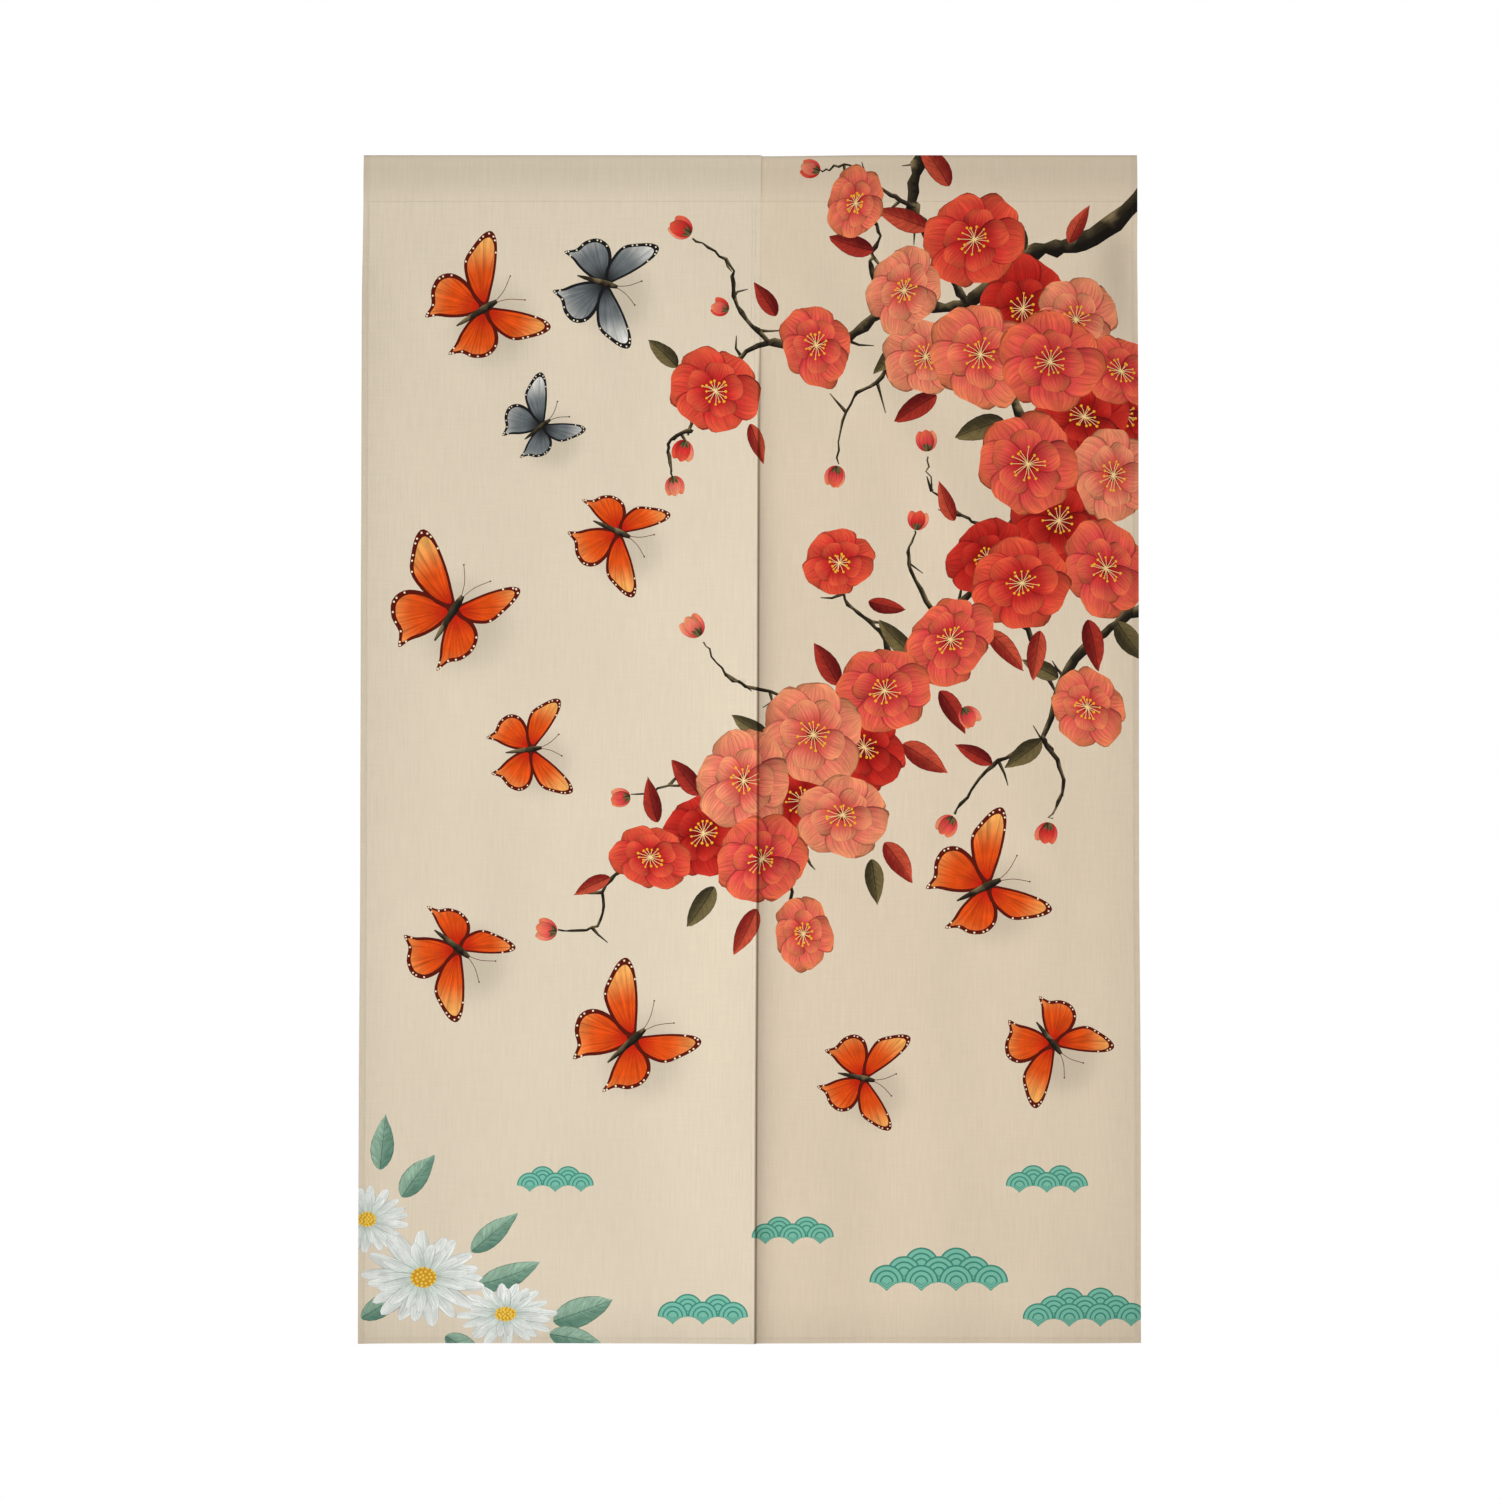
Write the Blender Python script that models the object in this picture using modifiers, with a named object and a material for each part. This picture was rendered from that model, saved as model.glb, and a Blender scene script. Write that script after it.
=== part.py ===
"""A two-panel noren: a split door curtain of printed cloth, hanging flat from its rod sleeve.

Metres, +Z up. The origin is the middle of the top fold. +X runs to the viewer's right and -Y faces the
viewer, so the printed side of the cloth looks along -Y. Two panels of one width overlap at the middle, the
left one in front. They are sewn together for the first SEAM_DROP below the top fold, and hang free of each
other below it. The rod sleeve at the top is the panels' cloth turned over and stitched, open at both ends.
"""

import math

import bmesh
import bpy

# Overall sizes of the hung curtain.
TOP_WIDTH = 0.846
DROP = 1.300
PANEL_WIDTH = 0.435
SEAM_DROP = 0.200

# The rod sleeve, an upright oval tube of cloth.
SLEEVE_HEIGHT = 0.050
SLEEVE_DEPTH = 0.014
SLEEVE_POINTS = 40

# Cloth and hems. A hem is the same cloth folded over twice, so it is thicker than the cloth inside it.
CLOTH = 0.0015
HEM_THICKNESS = 0.0024
HEM_WIDTH = 0.007
HEM_STEP = 0.0012
FIT_GAP = 0.0003

# Where the overlap lies, and how far apart the two layers hang.
LEFT_EDGE_TOP = -TOP_WIDTH / 2
RIGHT_EDGE_TOP = TOP_WIDTH / 2
LAP_AT_SEAM = HEM_THICKNESS + 0.0004
LAP_AT_HEM = 0.0070
LAP_FREE_AT = 0.460
LAP_RAMP_FROM = 0.016
LAP_RAMP_TO = 0.135
LEFT_LAP_SHARE = 0.72

# The outer edges curl, the left one toward the viewer and the right one away, most under its upper corner.
EDGE_CURLS = {
    "left": {"width": 0.085, "back": -0.0050, "corner_back": 0.0},
    "right": {"width": 0.050, "back": 0.0026, "corner_back": 0.0090},
}
CORNER_CURL_DROP = 0.130
CORNER_CURL_REACH = 0.075

# The folds start below the sleeve, which keeps the cloth straight.
FOLD_START = SLEEVE_HEIGHT
FOLD_FULL = SLEEVE_HEIGHT + 0.130

PANEL_COLUMNS = 20
PANEL_ROWS = 46

# How far each outer edge swings outwards below the top, by the distance down from the top fold.
SWING = [
    {"down": 0.00, "left": 0.0000, "right": 0.0000},
    {"down": 0.15, "left": 0.0018, "right": 0.0014},
    {"down": 0.50, "left": 0.0030, "right": 0.0022},
    {"down": 0.80, "left": 0.0036, "right": 0.0026},
    {"down": 1.00, "left": 0.0050, "right": 0.0042},
    {"down": 1.30, "left": 0.0062, "right": 0.0046},
]

# Soft folds, each a ridge (height above 0) or a trough (below 0) along a line from one point to another.
# x is across from the middle, down is from the top fold, and half_width is to each side of the line.
FOLDS = [
    {"x": 0.060, "down": 0.143, "to_x": 0.235, "to_down": 0.406, "half_width": 0.032, "height": 0.0030},
    {"x": 0.350, "down": 0.063, "to_x": 0.204, "to_down": 0.218, "half_width": 0.022, "height": -0.0018},
    {"x": 0.400, "down": 0.080, "to_x": 0.262, "to_down": 0.240, "half_width": 0.026, "height": 0.0012},
    {"x": 0.255, "down": 0.360, "to_x": 0.290, "to_down": 0.700, "half_width": 0.060, "height": 0.0018},
    {"x": 0.200, "down": 0.760, "to_x": 0.204, "to_down": 1.300, "half_width": 0.030, "height": 0.0010},
    {"x": 0.120, "down": 1.000, "to_x": 0.134, "to_down": 1.300, "half_width": 0.040, "height": -0.0012},
    {"x": 0.258, "down": 0.980, "to_x": 0.262, "to_down": 1.300, "half_width": 0.028, "height": -0.0008},
    {"x": 0.322, "down": 0.760, "to_x": 0.326, "to_down": 1.300, "half_width": 0.030, "height": 0.0012},
    {"x": 0.016, "down": 0.240, "to_x": 0.016, "to_down": 1.300, "half_width": 0.085, "height": 0.0046},
    {"x": -0.215, "down": 0.440, "to_x": -0.240, "to_down": 0.860, "half_width": 0.060, "height": -0.0026},
    {"x": -0.328, "down": 0.800, "to_x": -0.324, "to_down": 1.300, "half_width": 0.032, "height": -0.0013},
    {"x": -0.375, "down": 0.660, "to_x": -0.372, "to_down": 1.300, "half_width": 0.026, "height": 0.0008},
    {"x": -0.185, "down": 1.020, "to_x": -0.160, "to_down": 1.300, "half_width": 0.046, "height": 0.0013},
    {"x": -0.395, "down": 0.070, "to_x": -0.290, "to_down": 0.240, "half_width": 0.030, "height": 0.0012},
    {"x": -0.340, "down": 0.060, "to_x": -0.215, "to_down": 0.220, "half_width": 0.030, "height": -0.0012},
]

CLOTH_COLOUR = (0.72, 0.61, 0.46, 1.0)
HEADING_COLOUR = (0.62, 0.52, 0.39, 1.0)
CLOTH_ROUGHNESS = 0.92


def smoothstep(low, high, value):
    """0 below low, 1 above high, and a smooth rise between them."""
    share = min(1.0, max(0.0, (value - low) / (high - low)))
    return share * share * (3 - 2 * share)


def swing(side, down):
    """How far that side's outer edge has swung outwards at a distance down from the top fold."""
    for above, below in zip(SWING, SWING[1:]):
        if down <= below["down"]:
            share = (down - above["down"]) / (below["down"] - above["down"])
            return above[side] + share * (below[side] - above[side])
    return SWING[-1][side]


def distance_to_fold(fold, x, down):
    """Distance from a point of the cloth to the line that a fold runs along."""
    run_x = fold["to_x"] - fold["x"]
    run_down = fold["to_down"] - fold["down"]
    along = (x - fold["x"]) * run_x + (down - fold["down"]) * run_down
    share = min(1.0, max(0.0, along / (run_x * run_x + run_down * run_down)))
    return math.hypot(x - fold["x"] - share * run_x, down - fold["down"] - share * run_down)


def folds_forward(x, down):
    """How far the soft folds bring the cloth forwards at a point."""
    forward = 0.0
    for fold in FOLDS:
        across = distance_to_fold(fold, x, down) / fold["half_width"]
        forward += fold["height"] * math.exp(-across * across)
    return forward * smoothstep(FOLD_START, FOLD_FULL, down)


def curl_back(x, down):
    """How far the outer edges curl back."""
    from_edges = {
        "left": x - LEFT_EDGE_TOP + swing("left", down),
        "right": RIGHT_EDGE_TOP + swing("right", down) - x,
    }
    corner = math.exp(-(((down - CORNER_CURL_DROP) / CORNER_CURL_REACH) ** 2))
    back = 0.0
    for side, curl in EDGE_CURLS.items():
        share = max(0.0, 1 - from_edges[side] / curl["width"])
        back += (curl["back"] + curl["corner_back"] * corner) * share * share
    return back * smoothstep(FOLD_START, FOLD_FULL, down)


def lap_forward(side, x, down):
    """The left panel's share of the gap in front of the overlap, or the right panel's share behind it."""
    gap = LAP_AT_SEAM + (LAP_AT_HEM - LAP_AT_SEAM) * smoothstep(SEAM_DROP, LAP_FREE_AT, down)
    if side == "left":
        return LEFT_LAP_SHARE * gap * (1 - smoothstep(LAP_RAMP_FROM, LAP_RAMP_TO, -x))
    return (LEFT_LAP_SHARE - 1) * gap * (1 - smoothstep(LAP_RAMP_FROM, LAP_RAMP_TO, x))


def forward(side, x, down):
    """The whole distance that a point of a panel stands forward of the plane through the top fold."""
    return folds_forward(x, down) - curl_back(x, down) + lap_forward(side, x, down)


def banded_lines(length, start_bands, end_bands, even_count):
    """Grid lines along a length: narrow bands at its start, even cells, and narrow bands at its end."""
    even = (length - sum(start_bands) - sum(end_bands)) / even_count
    lines = [0.0]
    for step in start_bands + [even] * even_count + end_bands:
        lines.append(lines[-1] + step)
    return lines


def panel_point(side, across, down):
    """A point of a panel's middle surface, across from its outer edge and down from the top fold."""
    if side == "left":
        x = LEFT_EDGE_TOP - swing("left", down) + across
    else:
        x = RIGHT_EDGE_TOP + swing("right", down) - across
    return (x, -forward(side, x, down), -down)


def cloth_material(name, colour):
    """Matt printed cloth."""
    material = bpy.data.materials.new(name)
    material.use_nodes = True
    shader = material.node_tree.nodes["Principled BSDF"]
    shader.inputs["Base Color"].default_value = colour
    shader.inputs["Roughness"].default_value = CLOTH_ROUGHNESS
    shader.inputs["Metallic"].default_value = 0.0
    return material


def make_panel(name, side, collection):
    """One panel: a grid laid on the folds, given its thickness with the hems thicker than the cloth."""
    hem_bands = [HEM_WIDTH, HEM_STEP]
    across_lines = banded_lines(PANEL_WIDTH, hem_bands, hem_bands[::-1], PANEL_COLUMNS)
    sleeve_foot = SLEEVE_HEIGHT + FIT_GAP
    down_lines = banded_lines(DROP - sleeve_foot, [], hem_bands[::-1], PANEL_ROWS)
    columns = len(across_lines) - 1
    rows = len(down_lines) - 1

    grid = bmesh.new()
    bmesh.ops.create_grid(grid, x_segments=columns, y_segments=rows, size=0.5)
    hem_points = []
    for index, vertex in enumerate(grid.verts):
        column = round((vertex.co.x + 0.5) * columns)
        row = round((0.5 - vertex.co.y) * rows)
        in_side_hem = column <= 1 or column >= columns - 1
        in_foot_hem = row >= rows - 1
        if in_side_hem or in_foot_hem:
            hem_points.append(index)
        vertex.co = panel_point(side, across_lines[column], sleeve_foot + down_lines[row])
    bmesh.ops.recalc_face_normals(grid, faces=grid.faces)
    mesh = bpy.data.meshes.new(name)
    grid.to_mesh(mesh)
    grid.free()
    mesh.shade_smooth()

    panel = bpy.data.objects.new(name, mesh)
    collection.objects.link(panel)
    hems = panel.vertex_groups.new(name="hems")
    hems.add(hem_points, 1.0, "REPLACE")
    thickness = panel.modifiers.new("cloth", "SOLIDIFY")
    thickness.thickness = HEM_THICKNESS
    thickness.offset = 0.0
    thickness.vertex_group = hems.name
    thickness.thickness_vertex_group = CLOTH / HEM_THICKNESS
    panel.data.materials.append(cloth_material(name + "_cloth", CLOTH_COLOUR))
    return panel


def add_oval(curve, half_depth, half_height):
    """A closed outline, an upright ellipse about the middle of the sleeve."""
    spline = curve.splines.new("POLY")
    spline.points.add(SLEEVE_POINTS - 1)
    for index, point in enumerate(spline.points):
        angle = 2 * math.pi * index / SLEEVE_POINTS
        point.co = (half_depth * math.sin(angle), half_height * math.cos(angle), 0.0, 1.0)
    spline.use_cyclic_u = True


def make_sleeve(name, collection):
    """The rod sleeve: an oval ring of cloth, extruded along the curtain's width and open at both ends."""
    curve = bpy.data.curves.new(name, "CURVE")
    curve.dimensions = "2D"
    curve.fill_mode = "BOTH"
    curve.extrude = TOP_WIDTH / 2
    add_oval(curve, SLEEVE_DEPTH / 2, SLEEVE_HEIGHT / 2)
    add_oval(curve, SLEEVE_DEPTH / 2 - CLOTH, SLEEVE_HEIGHT / 2 - CLOTH)
    sleeve = bpy.data.objects.new(name, curve)
    collection.objects.link(sleeve)
    sleeve.rotation_euler = (math.pi / 2, 0.0, math.pi / 2)
    sleeve.location = (0.0, 0.0, -SLEEVE_HEIGHT / 2)
    curve.materials.append(cloth_material(name + "_cloth", HEADING_COLOUR))
    return sleeve


def main():
    for old in list(bpy.data.objects):
        bpy.data.objects.remove(old)
    noren = bpy.data.collections.new("noren_curtain")
    bpy.context.scene.collection.children.link(noren)
    top_fold = bpy.data.objects.new("top_fold", None)
    noren.objects.link(top_fold)
    pieces = [
        make_sleeve("heading_sleeve", noren),
        make_panel("panel_left", "left", noren),
        make_panel("panel_right", "right", noren),
    ]
    for piece in pieces:
        piece.parent = top_fold


main()
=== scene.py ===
"""The looks of a two-panel noren: printed linen-weave cloth that hangs flat from its own rod sleeve.

Metres, +Z up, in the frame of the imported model. The origin is the middle of the top fold and -Y faces
the viewer. Every point of the cloth also has a flat place, x and down. x is its place across at the
top fold, and down is its distance below the fold. A place above the fold, where down is negative,
lies on the back of the sleeve.

The print is laid out on the flat cloth as shapes, each an outline and a paint. Both panels are cut
from that one print: their meshes have the outlines as edges, and every corner of a face holds its
paint. The faces are then laid on the folds, given their thickness, hemmed and stitched.
"""
import math
from functools import partial

import bpy
import numpy as np
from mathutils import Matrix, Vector
from mathutils.geometry import delaunay_2d_cdt


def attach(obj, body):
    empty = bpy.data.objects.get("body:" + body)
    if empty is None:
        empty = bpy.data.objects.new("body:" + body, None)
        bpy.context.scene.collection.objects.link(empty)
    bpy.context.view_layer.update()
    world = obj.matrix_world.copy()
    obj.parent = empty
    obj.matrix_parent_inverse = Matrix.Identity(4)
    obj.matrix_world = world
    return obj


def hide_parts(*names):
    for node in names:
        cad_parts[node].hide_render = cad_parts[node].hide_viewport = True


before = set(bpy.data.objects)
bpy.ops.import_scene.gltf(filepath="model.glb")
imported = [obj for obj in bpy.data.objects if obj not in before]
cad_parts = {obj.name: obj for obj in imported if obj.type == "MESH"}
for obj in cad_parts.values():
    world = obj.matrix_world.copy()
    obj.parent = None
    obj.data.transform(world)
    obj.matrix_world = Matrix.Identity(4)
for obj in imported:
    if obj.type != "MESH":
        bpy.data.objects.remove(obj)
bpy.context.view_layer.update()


def table(columns, rows):
    """Each row as a record, by the names of its columns."""
    return [dict(zip(columns.split(), row)) for row in rows]


# The cloth's sizes, as in the part
TOP_WIDTH = 0.846
DROP = 1.300
PANEL_WIDTH = 0.435
SEAM_DROP = 0.200
SLEEVE_HEIGHT = 0.050
LEFT_EDGE_TOP = -TOP_WIDTH / 2
RIGHT_EDGE_TOP = TOP_WIDTH / 2
FOLD_START = SLEEVE_HEIGHT
FOLD_FULL = SLEEVE_HEIGHT + 0.130

# How far each outer edge swings outward, by the distance down
SWING = table("down left right", [
    (0.00, 0.0000, 0.0000),
    (0.15, 0.0018, 0.0014),
    (0.50, 0.0030, 0.0022),
    (0.80, 0.0036, 0.0026),
    (1.00, 0.0050, 0.0042),
    (1.30, 0.0062, 0.0046),
])

# Folds: a ridge (height above 0) or a trough (below 0) along a line, about half_width to each side
FOLDS = table("x down to_x to_down half_width height", [
    (0.060, 0.143, 0.235, 0.406, 0.032, 0.0030),
    (0.350, 0.063, 0.204, 0.218, 0.022, -0.0018),
    (0.392, 0.070, 0.300, 0.240, 0.026, 0.0022),
    (0.255, 0.360, 0.290, 0.700, 0.060, 0.0018),
    (0.200, 0.760, 0.204, 1.300, 0.030, 0.0010),
    (0.120, 1.000, 0.134, 1.300, 0.040, -0.0012),
    (0.258, 0.980, 0.262, 1.300, 0.028, -0.0008),
    (0.322, 0.760, 0.326, 1.300, 0.030, 0.0012),
    (0.016, 0.240, 0.016, 1.300, 0.085, 0.0046),
    (-0.215, 0.440, -0.240, 0.860, 0.060, -0.0026),
    (-0.328, 0.800, -0.324, 1.300, 0.032, -0.0013),
    (-0.375, 0.660, -0.372, 1.300, 0.026, 0.0008),
    (-0.185, 1.020, -0.160, 1.300, 0.046, 0.0013),
    (-0.395, 0.070, -0.290, 0.240, 0.030, 0.0012),
    (-0.340, 0.060, -0.215, 0.220, 0.030, -0.0012),
])

# The outer edges curl, the left one toward the viewer and the right one away
EDGE_CURLS = {
    "left": {"width": 0.085, "sharpness": 3, "back": -0.0072},
    "right": {"width": 0.050, "sharpness": 2, "back": 0.0026},
}

# The right edge curls away most under its upper corner
CORNER_CURL_BACK = 0.0105
CORNER_CURL_DROP = 0.120
CORNER_CURL_REACH = 0.085 # how far it reaches up and down the edge
CORNER_CURL_INSET = 0.005
CORNER_CURL_WIDTH = 0.026
CORNER_CURL_FULL = 0.100

# The overlap below the seam, where the panels hang free of each other
LAP_AT_HEM = 0.0090       # how far apart they hang, middle to middle
LAP_RAMP_FROM = 0.016
LAP_RAMP_TO = 0.135
LAP_SHARPNESS = 1.5
LEFT_LAP_SHARE = 0.80     # the left panel's share of the gap
SEAM_OPENS = (0.178, 0.280)
SEAM_OPENS_SHARE = 0.55   # how much of the gap opens beside the seam's end
LAP_HANGS_FREE = (0.250, 0.500)

# What the looks add to the part's sizes
FACE = 0.00035            # the printed face, in front of the cloth's middle surface
CLOTH = 0.0007
HEM_CLOTH = 0.0017
HEM_EDGE_CLOTH = 0.0011   # the hem's rounded outer edge
HEM_WIDTH = 0.0070
HEM_STEP = 0.0006
FOOT_HEM_SHARE = 0.4      # how much of the side hems' painted shade the foot hem has
SLEEVE_BULGE = 0.0048
BULGE_SCALE = 2.38        # brings the bulge's formula to 1 where it is deepest
BULGE_FALL = 0.8
SEAM_GAP = 0.00075        # between the middle surfaces where the panels are sewn together
SEAM_EDGE_GAP = 0.00020   # the same at the left panel's edge, which is pressed thin there
SEAM_EDGE_CLOTH = 0.00015
SEAM_PRESS = 0.0080       # how wide the pressed edge is
SLIT_HEM = (0.190, 0.240) # where the slit's hems get their full thickness
ROLL = 0.0036             # how far the left panel's slit edge rolls back
ROLL_WIDTH = 0.0020
ROLL_SHARPNESS = 1.5
ROLL_FROM = (0.205, 0.320)
ROLL_CREST = 0.00045      # how far the hem stands forward beside the roll
ROLL_CREST_AT = 0.0026
ROLL_CREST_WIDTH = 0.0014
ROLL_CREST_END = 0.0042
SWELL = 0.0034            # how far the right panel swells forward under the slit
SWELL_AT = 0.008
SWELL_WIDTH = 0.018
INNER_LOOP_SHARE = 0.12   # how much the right panel's loop is smaller inside the left one's
INNER_LOOP_DROP = 0.0012
FLAP = 0.0030             # the sleeve's back reaches this far below the heading's stitches
FLAP_GAP = 0.0011         # how far the sleeve's back stands behind the panel at its stitches
FLAP_GAP_AT_HEM = 0.0027
FLAP_GAP_AT_LAP = {"left": 0.0020, "right": 0.0012}
FLAP_GAP_REACH = 2.5 * HEM_WIDTH
PUCKER = 0.00020
PUCKER_REACH = 0.0060

# Waves along each row of stitches: radians a metre, phase and share
PUCKER_WAVES = {
    "side": [(610, 0.0, 1.0), (283, 1.0, 0.7)],
    "foot": [(560, 0.0, 1.0), (251, 2.0, 0.7)],
    "heading": [(430, 0.5, 1.0)],
}

# Low waves that keep the cloth between its folds from being flat
UNEVEN = table("per_x per_down phase height", [
    (41.0, 9.0, 0.4, 0.00042),
    (-17.0, 23.0, 2.1, 0.00050),
    (29.0, -14.0, 4.0, 0.00040),
    (7.0, 31.0, 1.2, 0.00034),
    (63.0, 4.0, 5.2, 0.00022),
])

# The grid of the flat cloth
GRID_PITCH = 0.0068
ROW_PITCH = GRID_PITCH * 0.87
LINE_PITCH = 0.0045
GRID_JITTER = 0.0006
GRID_FROM = HEM_WIDTH + 0.004        # from the outer edge and from the foot
GRID_TO = HEM_WIDTH + 0.003          # from the slit's edge
SLEEVE_LINES = [
    0.0003, 0.0009, 0.0018, 0.0032, 0.0052, 0.0080, 0.0115, 0.016, 0.022, 0.029, 0.036, 0.042, 0.047]
HEM_LINES = [HEM_STEP, HEM_WIDTH, HEM_WIDTH + HEM_STEP]
SIDE_LINES = HEM_LINES + [ROLL_WIDTH / 2, ROLL_WIDTH, ROLL_CREST_AT, ROLL_CREST_END]
EDGE_SHARES = (0.02, 0.5, 0.98)      # where an outline's short edges are tried for showing
CREASE_ANGLE = math.radians(55)      # edges sharper than this are shaded as edges

# A paint's numbers at a corner: colour, rim, line, run and strength
PAINT_COLUMNS = 7

# The camera, straight before the cloth
CAMERA_LENS = 150.0
SENSOR = 36.0
FRAME_WIDTH = 1.6418
AIM = (-0.0005, 0.0, -0.6507)

WHITE = (1.0, 1.0, 1.0, 1.0)
FLOOR_Z = -2.2
FLOOR_RADIUS = 3.4


def rgb(red, green, blue):
    """A linear colour from its 0 to 255 screen values."""
    return (np.array([red, green, blue]) / 255.0) ** 2.2


BARE_CLOTH = rgb(226, 211, 187)
BACK_CLOTH = rgb(222, 208, 186)
INK = rgb(30, 25, 20)
BARK_LIGHT = rgb(150, 132, 96)
BLOSSOM_HEART = rgb(140, 28, 24)
STAMEN = rgb(246, 214, 150)
ANTHER = rgb(236, 178, 48)
WING_MARGIN = rgb(92, 26, 14)
WING_SPOT = rgb(250, 232, 198)
TEAL_LINE = rgb(66, 140, 122)
TEAL_FILL = rgb(122, 190, 168)
EYE = rgb(206, 150, 44)
EYE_GRAIN = rgb(244, 204, 84)

# Petal tones: at the heart, in the middle and at the tip
PETAL_TONES = table("heart middle tip", [
    (rgb(186, 22, 26), rgb(232, 78, 78), rgb(244, 118, 76)),
    (rgb(196, 30, 30), rgb(240, 102, 92), rgb(246, 142, 92)),
    (rgb(172, 18, 24), rgb(220, 56, 52), rgb(240, 100, 66)),
    (rgb(204, 52, 44), rgb(242, 122, 104), rgb(248, 160, 112)),
])
DEEP_PETAL_TONES = {"heart": rgb(128, 12, 14), "middle": rgb(184, 30, 26), "tip": rgb(212, 60, 46)}
DAISY_TONES = {"heart": rgb(176, 196, 180), "middle": rgb(226, 234, 226), "tip": rgb(248, 249, 244)}
LEAF_TONES = table("light dark", [
    (rgb(206, 84, 60), rgb(126, 30, 26)),
    (rgb(122, 108, 70), rgb(56, 50, 34)),
    (rgb(178, 56, 44), rgb(96, 20, 20)),
])
PALE_LEAF_TONES = {"light": rgb(158, 190, 166), "dark": rgb(98, 138, 118)}
WING_TONES = {row["name"]: row for row in table("name root middle tip edge", [
    ("red", rgb(196, 34, 12), rgb(228, 82, 22), rgb(248, 178, 96), WING_MARGIN),
    ("grey", rgb(40, 42, 44), rgb(108, 114, 116), rgb(232, 230, 222), rgb(30, 30, 32)),
])}

# Boughs of the print, in the order that they are drawn
BOUGHS = table("from to by", [
    (0.0150, 0.0100, [(0.450, 0.290), (0.398, 0.306), (0.352, 0.296), (0.302, 0.312)]),
    (0.0120, 0.0022, [
        (0.300, 0.112), (0.322, 0.186), (0.290, 0.262), (0.322, 0.335), (0.298, 0.412), (0.258, 0.468),
        (0.208, 0.512), (0.166, 0.580), (0.096, 0.622), (0.038, 0.688), (-0.034, 0.712), (-0.098, 0.768)]),
    (0.0150, 0.0026, [
        (0.452, 0.022), (0.376, 0.090), (0.304, 0.108), (0.236, 0.162), (0.156, 0.166), (0.088, 0.214),
        (0.020, 0.206), (-0.042, 0.252), (-0.066, 0.306)]),
    (0.0052, 0.0016, [(0.156, 0.168), (0.132, 0.122), (0.142, 0.082), (0.104, 0.040)]),
    (0.0050, 0.0015, [(0.024, 0.206), (-0.012, 0.166), (-0.022, 0.120), (-0.060, 0.092)]),
    (0.0056, 0.0016, [(0.260, 0.466), (0.306, 0.520), (0.332, 0.578), (0.380, 0.622)]),
    (0.0054, 0.0015, [(0.166, 0.578), (0.146, 0.522), (0.106, 0.486), (0.098, 0.436)]),
    (0.0046, 0.0014, [(0.040, 0.688), (0.066, 0.752), (0.048, 0.806), (0.062, 0.856)]),
    (0.0044, 0.0013, [(0.096, 0.620), (0.040, 0.592), (-0.016, 0.574), (-0.048, 0.532)]),
    (0.0036, 0.0012, [(-0.034, 0.712), (-0.072, 0.690), (-0.124, 0.700)]),
    (0.0038, 0.0012, [(0.304, 0.412), (0.246, 0.400), (0.206, 0.372), (0.196, 0.330)]),
    (0.0100, 0.0020, [
        (0.452, 0.486), (0.404, 0.512), (0.352, 0.560), (0.322, 0.636), (0.268, 0.668), (0.226, 0.722)]),
    (0.0040, 0.0012, [(0.322, 0.636), (0.346, 0.684), (0.330, 0.728)]),
    (0.0110, 0.0080, [(0.190, -0.012), (0.178, 0.050), (0.206, 0.104), (0.238, 0.162)]),
    (0.0040, 0.0012, [(0.180, 0.056), (0.142, 0.036), (0.108, 0.012), (0.076, 0.018)]),
    (0.0042, 0.0012, [(-0.062, 0.300), (-0.088, 0.316), (-0.082, 0.350)]),
    (0.0052, 0.0013, [(0.166, 0.168), (0.150, 0.236), (0.110, 0.272), (0.098, 0.338)]),
    (0.0050, 0.0013, [(0.210, 0.512), (0.176, 0.446), (0.184, 0.412)]),
    (0.0046, 0.0013, [(-0.096, 0.768), (-0.150, 0.792), (-0.164, 0.842), (-0.206, 0.850)]),
])

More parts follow.
